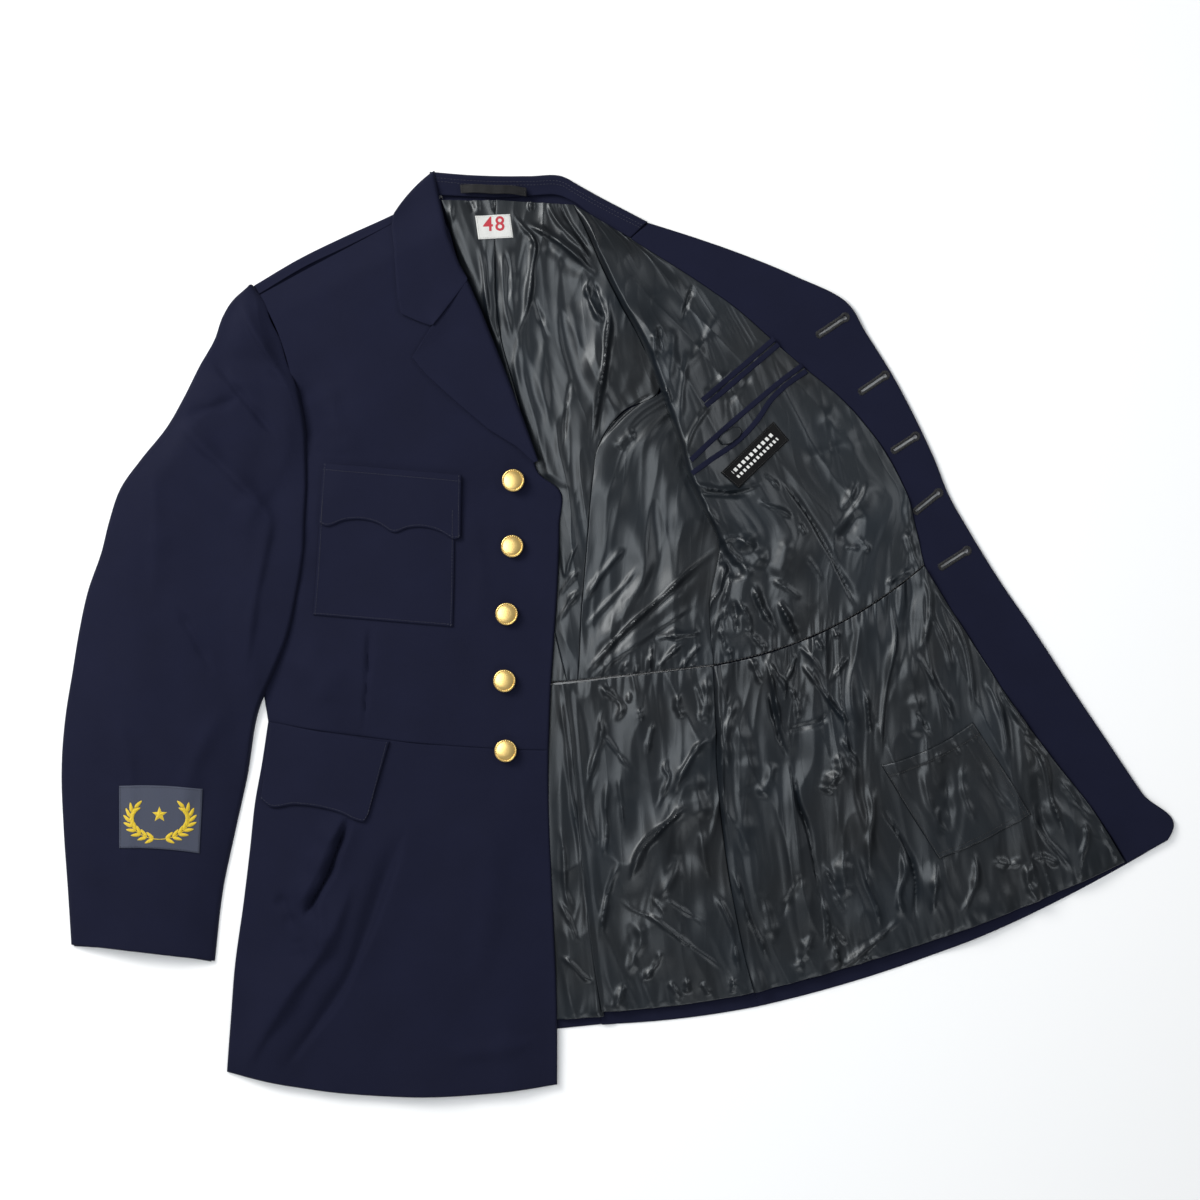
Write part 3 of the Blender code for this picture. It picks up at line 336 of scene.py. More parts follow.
CREASES_FRONT = creases([
    (2.0, -2.2, 0.5, 146, 147, 163, 126, 181, 100, 204, 57, 223, 18),
    (5, -4.5, 0, 92, 88, 99, 70, 110, 56, 120, 50), (6, 2.6, 0, 112, 92, 124, 76, 140, 62),
    (1.5, -1.6, 0.2, 72, 323, 66, 307, 62, 294, 59, 285), (1.6, -1.2, 0, 39, 282, 40, 267, 42, 255),
    (2.4, 1.4, 0, 36, 277, 34, 264, 36, 248), (4, 1.4, 0, 52, 282, 53, 264, 50, 243, 48, 226),
    (2, 1.8, 0, 44, 224, 48, 217, 48, 207), (2.6, 1.8, 0, -37, 393, -26, 379, -20, 364, -17, 347, -12, 327),
    (3, 1, 0, -23, 379, -18, 368, -16, 354), (5, 1.6, 0.2, 95, 296, 85, 277, 75, 258, 62, 237),
    (3, 1.2, 0, 106, 242, 92, 228, 81, 215), (3, 1.4, 0, 67, 262, 62, 237, 59, 211, 58, 190),
    (2.4, 1.4, 0, 92, 215, 77, 198, 66, 179, 62, 158), (3, -1, 0, 128, 241, 115, 226, 98, 207),
    (2, 2, 0.5, 67, 139, 85, 131, 107, 130, 121, 133, 136, 139),
    (2, -1.4, 0, 70, 129, 88, 127, 111, 127, 128, 130), (1.8, 1.4, 0, 129, 123, 140, 116, 153, 112, 163, 104),
    (1.6, 1.2, 0, 136, 146, 145, 139, 151, 131), (2.6, 2, 0.3, 72, 121, 81, 112, 90, 98, 94, 84),
    (2.4, 1.8, 0, 94, 84, 107, 89, 121, 82, 132, 78), (3, 2.4, -0.4, 96, 91, 104, 76, 115, 65, 126, 53),
    (5.5, 2.4, 0.5, 232, 142, 227, 126, 213, 108, 198, 91), (3, 1.8, 0, 221, 141, 215, 127, 206, 112),
    (5, -1.4, 0, 225, 112, 212, 95, 202, 82), (1.6, 1.2, 0, 220, 89, 228, 82, 233, 73),
    (1.6, 1, 0, 208, 80, 223, 78), (2, 1.2, 0, 173, 71, 183, 59, 189, 47), (1.6, 1.2, 0, 168, 101, 174, 91),
    (4, 1.6, 0, 271, 139, 267, 114, 273, 89, 276, 76), (2.4, 1.8, 0, 265, 97, 271, 76, 276, 59),
    (2.4, 2, 0.2, 125, 41, 133, 21, 140, 8), (2.4, 2.2, 0.2, 147, 31, 157, 13, 164, -3),
    (2, 1.6, 0, 140, 51, 153, 44, 170, 32), (2.2, 1.6, 0, 246, 44, 254, 51, 271, 59),
    (7, 1.4, 0, 183, 207, 204, 190, 225, 165), (6, -1.2, 0, 170, 160, 191, 165, 212, 177),
    (6, 1.4, 0, 157, 89, 149, 63, 140, 51),
    (2, 2.2, 0, 103, 71, 97, 52, 95, 39, 86, 29, 81, 11, 84, -4, 90, -19),
    (1.8, 2, 0, 105, 62, 103, 45, 97, 24, 90, 7, 90, -9), (2.4, -2.4, 0, 108, 32, 110, 11, 111, -1),
    (1.8, 1.8, 0, 105, 35, 99, 20, 97, 7, 103, -2), (2.2, 2.2, 0.3, 118, 7, 126, -4, 139, -16),
    (2.6, 2.4, 0.2, 125, 48, 129, 33, 139, 14, 148, -1), (2.4, 2.6, 0.2, 149, 30, 155, 15, 163, -2, 166, -8),
    (1.8, 1.6, 0, 109, 32, 120, 18, 125, 5), (1.6, 1.6, 0, 93, 7, 100, -8, 99, -21),
    (1.6, 1.6, 0, 103, -13, 106, -23),
])
CREASES_SKIRT_BACK = creases([
    (2.2, 2, 0.3, -39, -45, -37, -70, -32, -130, -27, -177, -18, -208),
    (2.2, 1.8, -0.3, -52, -46, -49, -74, -45, -102, -42, -139, -36, -177, -32, -208),
    (2.2, 2, 0, -17, -45, -7, -55, 4, -63, 6, -70, -2, -81),
    (2.4, 2.2, 0.3, -9, -66, -15, -78, -13, -90, -19, -111, -25, -130, -29, -152),
    (1.5, 1.4, 0, -13, -91, -4, -102, 7, -117, 16, -128),
    (2.6, 2.8, 0.3, 86, -95, 74, -102, 66, -117, 58, -130, 52, -147),
    (2.6, 2.8, 0.3, 62, -157, 50, -170, 37, -181, 26, -192, 16, -208),
    (1.8, 1.6, 0, 49, -113, 43, -123, 50, -130, 43, -147, 37, -162),
    (2, 1.6, 0, -8, -132, -10, -158, -8, -184, -12, -208), (1.6, 1.2, 0, 2, -130, 5, -156, 7, -181),
    (2, 1.4, 0, 21, -68, 24, -80), (2, 1.6, 0, 60, -53, 54, -65, 62, -78),
    (2.2, 1.8, 0, 73, -45, 77, -57, 80, -70, 78, -83), (2, 1.4, 0, 13, -53, 11, -64),
    (6, 1.8, 0, 73, -121, 75, -149, 84, -173), (3, 2.2, 0, 82, -34, 83, -60, 84, -87),
    (2, 1.4, 0, 35, -79, 31, -94, 28, -113),
    (2.6, 2.6, 0.3, 65, -154, 50, -170, 36, -182, 23, -195, 15, -216, 13, -230),
    (2.6, 2.4, 0.3, 3, -207, -8, -235, -12, -260, -15, -282),
    (1.5, 1.6, 0.3, 0, -241, 15, -254, 34, -260, 45, -269, 65, -284, 86, -298, 104, -315),
    (1.5, 1.2, 0, 32, -241, 45, -256), (1.5, 1.2, 0, 45, -243, 65, -256, 83, -267),
    (3, 1.6, 0, 78, -180, 80, -206, 87, -227), (4, 1.8, 0, 57, -201, 55, -218, 44, -235, 36, -243),
    (4, 1.8, 0, 19, -262, 25, -281, 15, -298, 12, -317), (2.2, 2, 0, 41, -290, 38, -302, 23, -319),
    (2.2, 2, 0, 65, -315, 65, -330), (2, 1.8, 0, 48, -319, 57, -330, 61, -335),
    (2, 1.6, 0, 78, -319, 86, -331), (2, 1.6, 0, 108, -315, 106, -330),
    (2.4, 1.8, 0, 8, -319, 2, -336, -4, -345),
    (2.2, 1.8, 0, 88, -235, 99, -252, 108, -273, 110, -298, 116, -315),
    (2.4, 1.6, 0, -51, -176, -47, -205, -48, -235, -38, -260), (1.8, 1.6, 0, -54, -243, -42, -264, -35, -283),
    (1.8, 1.8, 0, -53, -295, -40, -302, -28, -317, -19, -319),
    (1.8, 1.6, 0, -50, -351, -39, -362, -26, -358, -12, -355),
])
CREASES_SKIRT_FRONT = creases([
    (2, 2, -0.3, 93, -29, 94, -64, 97, -102, 99, -177, 105, -208),
    (4, 2.4, 0.2, 111, -53, 103, -79, 99, -102, 105, -130), (2, 1.8, 0, 123, -21, 128, -36, 133, -46),
    (1.8, 2.6, 0, 136, -21, 143, -45, 146, -64, 154, -95),
    (2.2, -2.4, 0, 140, -49, 144, -72, 149, -94, 158, -115),
    (1.8, 2, 0, 139, -23, 146, -38, 155, -46, 154, -61), (1.6, 1.8, 0, 165, -18, 160, -35, 154, -44),
    (1.6, 1.4, 0, 165, -9, 180, -23, 193, -42),
    (1.6, 1.8, 0.4, 167, -25, 180, -42, 193, -59, 203, -74, 214, -83),
    (2.4, -1.6, 0, 155, -89, 171, -85, 189, -81, 195, -70), (2.4, 2, 0, 206, -93, 212, -106, 223, -122),
    (4, 2, 0, 200, -124, 195, -136, 191, -147), (4, 1.6, 0, 144, -117, 140, -136, 129, -151),
    (1.6, -1.6, 0.3, 159, -117, 163, -139, 165, -155, 174, -173, 176, -186),
    (2.4, 1.6, 0, 157, -45, 165, -60, 167, -79), (2, 1.6, 0, 214, -19, 202, -34, 194, -45),
    (2, 1.6, 0, 182, -4, 189, -15), (2, 1.4, 0, 199, 5, 202, -4), (6, 1.6, 0, 118, -83, 123, -111, 118, -149),
    (5, 2.2, 0.2, 224, 15, 219, -17, 213, -51, 217, -80, 220, -122, 217, -165),
    (2.6, 2.6, -0.4, 251, 33, 254, 14, 257, -3, 249, -38, 243, -80, 242, -118),
    (7, -2.4, 0, 279, 54, 268, 25, 266, -6, 259, -34, 251, -61),
    (3, 2.4, 0.4, 281, 55, 287, 36, 285, 4, 275, -19),
    (2.4, 1.8, 0.3, 289, 42, 306, 17, 319, -7, 325, -38, 327, -76),
    (2.6, 1.6, 0, 284, 25, 298, -2, 306, -24, 306, -42),
    (2.6, 2, 0.3, 273, -17, 287, -38, 302, -64, 312, -84), (1.6, 2, 0, 228, -51, 231, -80, 233, -93),
    (1.6, -1.4, 0.3, 273, -70, 281, -81, 289, -95), (5, 1.6, 0, 272, -51, 276, -76, 272, -97),
    (3, 1.8, 0.2, 336, -38, 349, -64, 355, -89, 357, -118), (2.4, 2, 0, 349, -47, 366, -76, 385, -99),
    (2.2, 2.2, 0.3, 368, -93, 385, -106, 393, -123, 397, -155, 412, -186),
    (5, -1.8, 0, 378, -114, 384, -139, 388, -167, 399, -186), (3, 1.8, 0, 403, -131, 418, -150, 437, -171),
    (2.2, 1.8, 0, 379, -165, 391, -186, 410, -205, 418, -220),
    (2, 2, 0, 428, -169, 431, -186, 424, -205, 431, -218), (2, 1.6, 0, 441, -175, 454, -196, 462, -211),
    (2.4, 2, 0, 378, -205, 390, -203, 407, -213), (3.4, 2.2, 0.3, 378, -207, 374, -226, 384, -241, 390, -249),
    (3, 1.8, 0, 344, -207, 363, -213, 371, -205), (2.6, 2, 0, 327, -199, 331, -220, 323, -243, 314, -258),
    (2.4, 2, 0, 293, -207, 291, -232, 289, -258),
    (1.8, -2, 0.3, 241, -157, 258, -182, 270, -205, 275, -229, 273, -264),
    (3, 2, 0, 230, -135, 236, -161, 230, -196, 232, -228), (4, 2, 0, 201, -108, 207, -125, 194, -139),
    (2, 1.8, 0, 190, -55, 200, -68, 213, -83), (3, 1.8, 0, 190, -207, 200, -232, 209, -258),
    (3, 2, 0.3, 259, -194, 266, -215, 257, -239, 262, -262),
    (1.8, -2, 0.4, 163, -116, 165, -155, 176, -180, 181, -212, 188, -244, 196, -266),
    (1.8, 2, 0, 181, -216, 187, -235, 195, -264, 192, -292), (1.8, 1.8, 0, 198, -268, 205, -277, 212, -286),
    (1.8, 1.8, 0, 197, -271, 202, -292, 205, -308), (2.2, -2, 0, 190, -212, 201, -235, 209, -252),
    (5, 2.2, 0, 211, -197, 205, -218, 213, -243), (1.8, 1.8, 0.3, 222, -201, 230, -229, 239, -252, 243, -273),
    (2.4, 2.4, 0.3, 207, -308, 224, -292, 241, -279, 260, -262), (4, 1.8, 0, 181, -273, 173, -290, 165, -311),
    (3, -1.6, 0, 171, -218, 158, -243, 151, -264), (6, 1.6, 0, 120, -138, 116, -171, 120, -205),
    (4, 1.6, 0, 133, -235, 141, -260, 146, -285),
    (2, 1.8, 0, 105, -214, 114, -235, 120, -260, 133, -281, 141, -302), (2, 1.6, 0, 226, -298, 234, -298),
])
CREASES_POCKET = creases([
    (2.6, 1.4, 0, 279, -120, 283, -144, 292, -171, 298, -186),
    (2.6, 1.6, 0.2, 317, -116, 315, -139, 323, -161, 330, -177),
    (2.2, 1.2, 0, 333, -116, 340, -135, 355, -156, 367, -165), (3, -1.2, 0, 302, -122, 303, -154, 308, -182),
    (1.8, 1.2, 0, 295, -156, 293, -171, 306, -186), (1.6, 1, 0, 293, -108, 298, -118),
    (1.6, 1, 0, 308, -99, 314, -112), (1.6, 1, 0, 323, -89, 329, -101),
])
CREASES_SLEEVE = creases([
    (4, 3.0, 0.4, -352, 318, -341, 297, -323, 260, -303, 235, -294, 211, -285, 166),
    (3.5, -3.2, 0.3, -374, 254, -363, 242, -345, 220, -315, 184, -306, 172),
    (4, -3.2, 0.3, -402, 199, -394, 201, -376, 204, -354, 211, -342, 217),
    (5, 3.4, 0.4, -412, 200, -394, 187, -370, 163, -338, 133, -314, 106, -308, 96),
    (5, 3.4, -0.4, -325, 122, -314, 106, -320, 75, -329, 30, -336, -20, -340, -44),
    (3.5, -2.4, 0, -404, 26, -394, 12, -376, -20, -368, -40), (7, 1.6, 0.3, -426, 168, -419, 97, -424, 20),
    (9, 2.2, 0, -352, -60, -390, -120, -400, -200), (6, 1.8, 0, -470, -60, -440, -110, -446, -230),
])
CREASES_FRONT_RIGHT = creases([
    (10, 1.2, 0, -282, 230, -250, 190, -240, 160), (9, 1.0, 0.2, -300, 120, -285, 60, -290, 0),
    (8, 1.0, 0, -140, 120, -120, 60, -128, 0), (12, 1.2, 0, -310, -20, -270, -40, -240, -70),
    (2.2, -2.2, 0, -225, 12, -226, -22, -231, -94), (7, -2.4, 0, -292, 240, -281, 205, -276, 158),
    (9, 1.8, 0, -262, 235, -258, 190, -262, 150),
])
CREASES_SKIRT_RIGHT = creases([
    (3.0, -9.0, 0.3, -244, -165, -257, -200, -265, -223, -280, -248, -287, -264),
    (7, 3.4, -0.5, -252, -168, -266, -198, -275, -222, -290, -246, -294, -262),
    (4, -1.8, 0, -311, -237, -301, -257, -294, -272),
    (14, 6.5, -0.5, -240, -215, -250, -250, -264, -280, -285, -312, -304, -332, -346, -410),
    (6, -4.8, -0.4, -190, -169, -215, -236, -235, -294, -253, -332, -311, -410),
    (4, 1.6, 0.3, -277, -238, -268, -260, -270, -284, -263, -297), (5, -1.2, 0, -293, -278, -286, -306),
    (8, 1.6, 0, -158, -385, -111, -382, -63, -370), (12, 1.6, 0, -120, -150, -110, -240, -130, -330),
])


def smooth(value):
    """Ease from 0 to 1."""
    value = np.clip(value, 0.0, 1.0)
    return value * value * (3 - 2 * value)


def ripple(x, y, seed):
    """Random soft relief, from about -1 to 1, with bumps about one unit across."""
    cell_x, cell_y = np.floor(x), np.floor(y)
    part_x, part_y = x - cell_x, y - cell_y

    def slope_from(corner_x, corner_y):
        key = np.sin((cell_x + corner_x) * 127.1 + (cell_y + corner_y) * 311.7 + seed * 74.7) * 43758.5453
        turn = (key - np.floor(key)) * 2 * math.pi
        return np.cos(turn) * (part_x - corner_x) + np.sin(turn) * (part_y - corner_y)

    ease_x, ease_y = smooth(part_x), smooth(part_y)
    low = slope_from(0, 0) * (1 - ease_x) + slope_from(1, 0) * ease_x
    high = slope_from(0, 1) * (1 - ease_x) + slope_from(1, 1) * ease_x
    return 1.5 * (low * (1 - ease_y) + high * ease_y)


def crumple(x, y, heading, length, width, seed):
    """Sharp-backed small folds, from 0 to 1, that run along a heading in degrees."""
    turn = math.radians(heading)
    along = (x * math.cos(turn) + y * math.sin(turn)) / length
    across = (y * math.cos(turn) - x * math.sin(turn)) / width
    sway = 0.7 * ripple(along, across * 0.6, seed + 0.5)
    return np.maximum(1 - np.abs(ripple(along + sway, across - sway, seed)), 0) ** 2.4


def rounded_off(line):
    """A line of points with its corners cut off twice."""
    points = np.array(line, float)
    for _ in range(2):
        if len(points) < 3:
            break
        near = points[:-1] * 0.75 + points[1:] * 0.25
        far = points[:-1] * 0.25 + points[1:] * 0.75
        points = np.vstack([points[:1], np.stack([near, far], 1).reshape(-1, 2)[1:-1], points[-1:]])
    return points


def follow(x, y, line):
    """Distance from a line, which side of it, and how far along it, for every place."""
    nearest = np.full(x.shape, 1e9)
    side = np.ones(x.shape)
    along = np.zeros(x.shape)
    done = 0
    for (x0, y0), (x1, y1) in zip(line, line[1:]):
        run_x, run_y = x1 - x0, y1 - y0
        length = math.hypot(run_x, run_y)
        share = np.clip(((x - x0) * run_x + (y - y0) * run_y) / length ** 2, 0, 1)
        away = np.hypot(x - x0 - share * run_x, y - y0 - share * run_y)
        closer = away < nearest
        nearest = np.where(closer, away, nearest)
        side = np.where(closer, np.sign(run_x * (y - y0) - run_y * (x - x0)), side)
        along = np.where(closer, done + share * length, along)
        done += length
    return nearest, side, along / done


def creased(x, y, creases):
    """Height that a table of creases adds at every place."""
    total = np.zeros(x.shape)
    for number, crease in enumerate(creases):
        line = rounded_off(crease.line)
        reach = 5 * crease.width
        low, high = line.min(0) - reach, line.max(0) + reach
        near = (x > low[0]) & (x < high[0]) & (y > low[1]) & (y < high[1])
        if not near.any():
            continue
        away, side, along = follow(x[near], y[near], line)
        ends = smooth(along / 0.25) * smooth((1 - along) / 0.25)
        uneven = 1 + 0.5 * ripple(along * 5, along * 0 + 0.5, number)
        half_width = crease.width * (1 + crease.lean * side) * uneven
        total[near] += crease.rise * ends * uneven * np.exp(-(away / half_width) ** 2)
    return total


def folded(x, y, folds):
    """Height that the large soft folds of a table add at every place."""
    total = 0
    for fold in folds:
        run_x, run_y = fold.x1 - fold.x0, fold.y1 - fold.y0
        length = math.hypot(run_x, run_y)
        along = ((x - fold.x0) * run_x + (y - fold.y0) * run_y) / length ** 2
        off = ((x - fold.x0) * run_y - (y - fold.y0) * run_x) / length
        ends = smooth((along + 0.1) / 0.3) * smooth((1.1 - along) / 0.3)
        total = total + fold.rise * ends * np.exp(-(off / fold.width) ** 2 * 2)
    return total


def outline(rows):
    """Closed outline of a panel, down its first edge and back up its second."""
    return [(row.ax, row.ay) for row in rows] + [(row.bx, row.by) for row in reversed(rows)]


def distance(x, y, points):
    """Distance from an outline, or 0 inside it, for every place."""
    inside = np.zeros(x.shape, bool)
    closed = points + points[:1]
    for (x0, y0), (x1, y1) in zip(closed, closed[1:]):
        if y0 != y1:
            crossed = ((y0 > y) != (y1 > y)) & (x < (x1 - x0) * (y - y0) / (y1 - y0) + x0)
            inside ^= crossed
    return np.where(inside, 0, follow(x, y, closed)[0])


SIDE = sorted((row.ay, row.ax) for row in FRONT_RIGHT + FRONT_SKIRT_RIGHT[1:])


def inside_side(x, y):
    """How far a place is inside the right side of the body, less than 0 outside it."""
    return x - np.interp(y, [place[0] for place in SIDE], [place[1] for place in SIDE])


def under_shoulder(x, y):
    """How far a place is below the fold of the right shoulder."""
    return (x + 334) * 0.4407 - (y - 321) * 0.8977


def collar_below(x, y):
    """Height of the collar leaf and lapel that are folded under the neck and the left front."""
    away = np.minimum(distance(x, y, outline(COLLAR_LEAF_UNDER)), distance(x, y, outline(LAPEL_LEFT_UNDER)))
    return COLLAR_UNDER_NECK * (1 - smooth((away - 3) / 40))


def front_right_level(x, y):
    """The right front without its creases: it lies on the back and is folded to it at the side."""
    edge = FOLDED_EDGE + (ARMHOLE_EDGE - FOLDED_EDGE) * smooth((y - 236) / 40)
    body = CHEST + (SKIRT - CHEST) * smooth((-60 - y) / 100)
    level = edge + (body - edge) * smooth(inside_side(x, y) / 60)
    level = FOLDED_EDGE + (level - FOLDED_EDGE) * smooth(under_shoulder(x, y) / 40)
    level = level - FRONT_EDGE_DROP * smooth((x + 150) / 90) * smooth((170 - y) / 60)
    level = level + collar_below(x, y)
    return level + folded(x, y, FOLDS_FRONT_RIGHT) + folded(x, y, FOLDS_SKIRT_RIGHT)


def front_left_level(x, y):
    """The left front's shell, lying open over the left sleeve."""
    away = distance(x, y, outline(SLEEVE_LEFT))
    return collar_below(x, y) + SLEEVE_UNDER_LEFT_FRONT * (1 - smooth((away - 3) / 60)) + WOOL


FRONT_EDGE = sorted((row.by, row.bx) for row in FRONT_RIGHT + FRONT_SKIRT_RIGHT[1:])


def clear_of_front(x, y):
    """0 under the closed right front, and 1 where the lining shows beside it."""
    beyond = x - np.interp(y, [place[0] for place in FRONT_EDGE], [place[1] for place in FRONT_EDGE])
    return smooth((beyond + 1) / 14)


VENT = sorted((row.ay, row.ax) for row in BACK_SKIRT_LEFT)


def beyond_vent(x, y):
    """How far a place is to the left side of the body from the edge of the back vent."""
    return x - np.interp(y, [place[0] for place in VENT], [place[1] for place in VENT])


def back(spot):
    return collar_below(spot.x, spot.y) + WOOL


def back_skirt_left(spot):
    """The vent's left edge lies over the right one."""
    return back(spot) + VENT_RISE * (1 - smooth((beyond_vent(spot.x, spot.y) - 1) / 9))


def front_right(spot):
    waves = 1.9 * ripple(spot.x / 52, spot.y / 90, 3)
    return front_right_level(spot.x, spot.y) + 1.3 * creased(spot.x, spot.y, CREASES_FRONT_RIGHT) + waves


def front_skirt_right(spot):
    waves = 2.6 * ripple(spot.x / 52, spot.y / 120, 4) * smooth(spot.head / 60)
    return front_right_level(spot.x, spot.y) + 1.2 * creased(spot.x, spot.y, CREASES_SKIRT_RIGHT) + waves


def front_left(spot):
    return front_left_level(spot.x, spot.y)


def facing(spot):
    waves = 0.35 * ripple(spot.x / 45, spot.y / 60, 5)
    return front_left_level(spot.x, spot.y) + INTERLINING + WOOL + waves


def satin_relief(spot, creases, amount, seed):
    """Creases placed one by one, with small random ones between them that run down the panel."""
    across, along = spot.left, spot.head
    sway = 9 * ripple(across / 60, along / 70, seed)
    small = 3.6 * (0.5 + 0.5 * ripple((across + sway) / 19, along / 85, seed + 1))
    small = small + 2.2 * crumple(across, along, 84, 150, 30, seed + 2) + 0.7 * crumple(across, along, 97, 90,
                                                                                        16, seed + 3)
    total = 1.3 * creased(spot.x, spot.y, creases) + amount * small
    return np.where(total < -1.1, -1.1 + 0.1 * (total + 1.1), total)


def gathered(spot, reach, seed):
    """Small tucks that run out from the waist seam."""
    tucks = np.abs(ripple(spot.x / 7, spot.y / 60, seed)) * 1.8
    near_waist = 1 - smooth(np.minimum(spot.foot if reach > 0 else spot.head, abs(reach)) / abs(reach))
    return tucks * near_waist


def hem_tucks(spot, seed):
    """The lining's hem hangs in small soft bags over its seam."""
    bags = np.abs(ripple(spot.left / 12, spot.foot / 50, seed)) * 2.4
    return bags * smooth(spot.foot / 5) * (1 - smooth((spot.foot - 5) / 22))


def lining_back(spot):
    base = back(spot) + INTERLINING + SATIN
    folds = folded(spot.x, spot.y, FOLDS_BACK) * smooth((spot.x + 75) / 40)
    relief = satin_relief(spot, CREASES_BACK, 0.8, 11) + gathered(spot, 26, 21)
    return base + folds + relief * clear_of_front(spot.x, spot.y)


def lining_skirt_back(spot):
    """Over the vent the lining rises with the edges below it, and its left side lies over its right one."""
    beyond = beyond_vent(spot.x, spot.y)
    rise = VENT_RISE * smooth((beyond + 10) / 5) * (1 - smooth((beyond - 1) / 9))
    lap = 1.2 * (spot.x[0, -1] > 0) * (1 - smooth((beyond - 1) / 9))
    base = back(spot) + INTERLINING + SATIN + rise + lap
    relief = folded(spot.x, spot.y, FOLDS_SKIRT_BACK) + satin_relief(spot, CREASES_SKIRT_BACK, 1.1, 15)
    relief = relief * (0.3 + 0.7 * smooth(np.abs(beyond) / 9)) + gathered(spot, -30, 22) + hem_tucks(spot, 25)
    return base + relief * clear_of_front(spot.x, spot.y)


def lining_front_left(spot):
    """The lining rolls up over the armhole along its first edge, and lies on the shell beyond it."""
    base = front_left_level(spot.x, spot.y) + INTERLINING + SATIN + folded(spot.x, spot.y, FOLDS_FRONT_LEFT)
    roll = ARMHOLE_ROLL * (1 - smooth((spot.left - 5) / 52)) * along_armhole(spot)
    return base + roll + satin_relief(spot, CREASES_FRONT, 0.6, 31) + gathered(spot, 22, 23)


def along_armhole(spot):
    """1 along the open armhole, 0 at the shoulder and below it."""
    return smooth((spot.y - 60) / 50) * smooth((398 - spot.y) / 50)


def armhole_drop(spot):
    """How far the rolled edge of the front lining falls to the back lining beside it."""
    return 1.0 + (ARMHOLE_ROLL + SLEEVE_UNDER_LEFT_FRONT) * along_armhole(spot)


def lining_skirt_left(spot):
    """A pleat stands up beside the side seam."""
    base = front_left_level(spot.x, spot.y) + INTERLINING + SATIN + folded(spot.x, spot.y, FOLDS_SKIRT_LEFT)
    pleat = 2.4 * np.exp(-((spot.left - 7) / 5) ** 2) * smooth(spot.head / 20)
    relief = satin_relief(spot, CREASES_SKIRT_FRONT, 1.2, 35) + gathered(spot, -30, 24) + hem_tucks(spot, 26)
    return base + pleat + relief


def under_sleeve(spot):
    """The sleeve lies on the surface, and climbs over the side of the body below the armhole."""
    inside = inside_side(spot.x, spot.y)
    climb = FOLDED_EDGE * smooth((inside + 30) / 30) + (CHEST - FOLDED_EDGE) * smooth(inside / 60)
    over = climb + 1.2 * smooth((inside + 30) / 30) + folded(spot.x, spot.y, FOLDS_FRONT_RIGHT)
    return over * (1 - smooth((spot.y - 226) / 22)) * smooth((spot.y + 150) / 60) + WOOL


def top_sleeve(spot):
    """Arched over the under sleeve, and level with the front along the armhole."""
    flat = under_sleeve(spot) + LIE + 0.2 + WOOL
    closed = SLEEVE_ARCH * (1 - np.abs(2 * spot.u - 1) ** 2.5)
    level = front_right_level(spot.x, spot.y) - flat
    joined = smooth(2.2 * spot.u) * level + 3 * (1 - (2 * spot.u - 1) ** 2)
    at_armhole = smooth((spot.y - 226) / 28)
    arch = closed * (1 - at_armhole) + joined * at_armhole
    middle = smooth(spot.u * 4) * smooth(4 - 4 * spot.u)
    folds = folded(spot.x, spot.y, FOLDS_SLEEVE_RIGHT) + creased(spot.x, spot.y, CREASES_SLEEVE)
    waves = 2.6 * ripple(spot.x / 44, spot.y / 80, 6)
    return flat + arch + (folds + waves) * middle


def sleeve_drop(spot):
    """How far the sleeve wraps down at its inner fold, and hardly at all where it is sewn to the front."""
    return 1.0 + (under_sleeve(spot) + WOOL - 0.5) * (1 - smooth((spot.y - 214) / 16)) * smooth((240 - spot.y) / 10)


def side_drop(spot):
    """How far the right front falls at its first edge: to the surface, but not where the sleeve is sewn on."""
    return 0.8 + 2.9 * smooth((170 - spot.y) / 20)


def on_lapel(spot):
    """The collar and lapel lie on the front and rise a little to their roll."""
    return front_right_level(spot.x, spot.y) + INTERLINING + WOOL + 0.9 + LAPEL_ROLL * smooth((spot.u - 0.4) / 0.6)


def leaf_fold(spot):
    """The collar leaf turns down along its fold, and stays level where it is sewn to the lapel."""
    return 0.4 + 4.6 * smooth((spot.y - 322) / 12)


def collar_stand(spot):
    """The band slopes from the collar's fold down to the neck seam."""
    low = back(spot) + INTERLINING + SATIN
    return COLLAR_STAND_TOP + (low - COLLAR_STAND_TOP) * smooth(spot.u)


def collar_leaf_under(spot):
    return WOOL + COLLAR_FOLD * smooth((-20 - spot.x) / 30) * (1 - smooth(spot.left / 11))


def on_surface(spot):
    return WOOL + 0 * spot.x


def top_sleeve_left(spot):
    return 2 * WOOL + 2 * LIE + 0 * spot.x


def hanger_loop(spot):
    """A tape that is sewn down at its ends and stands clear between them."""
    arch = 2.6 * (1 - (2 * spot.v - 1) ** 2) + 0.5 * ripple(spot.x / 9, spot.x * 0, 31)
    return COLLAR_STAND_TOP + 0.6 + TRIM + arch


# What the edges of a piece do: how far in they start to turn, and how far they fall
SEAM_EDGE = (1.7, 0.9)
TURNED_EDGE = (2.0, 3.0)
FINE_EDGE = (0.8, 0.9)
ROLLED_EDGE = (4.0, 5.0)
CLOSE_STEPS = [0, 0.15, 0.5, 1.0, 1.8, 3.0, 4.5]
WIDE_STEPS = [0, 2.0]

Spot = namedtuple("Spot", "x y u v left right head foot")


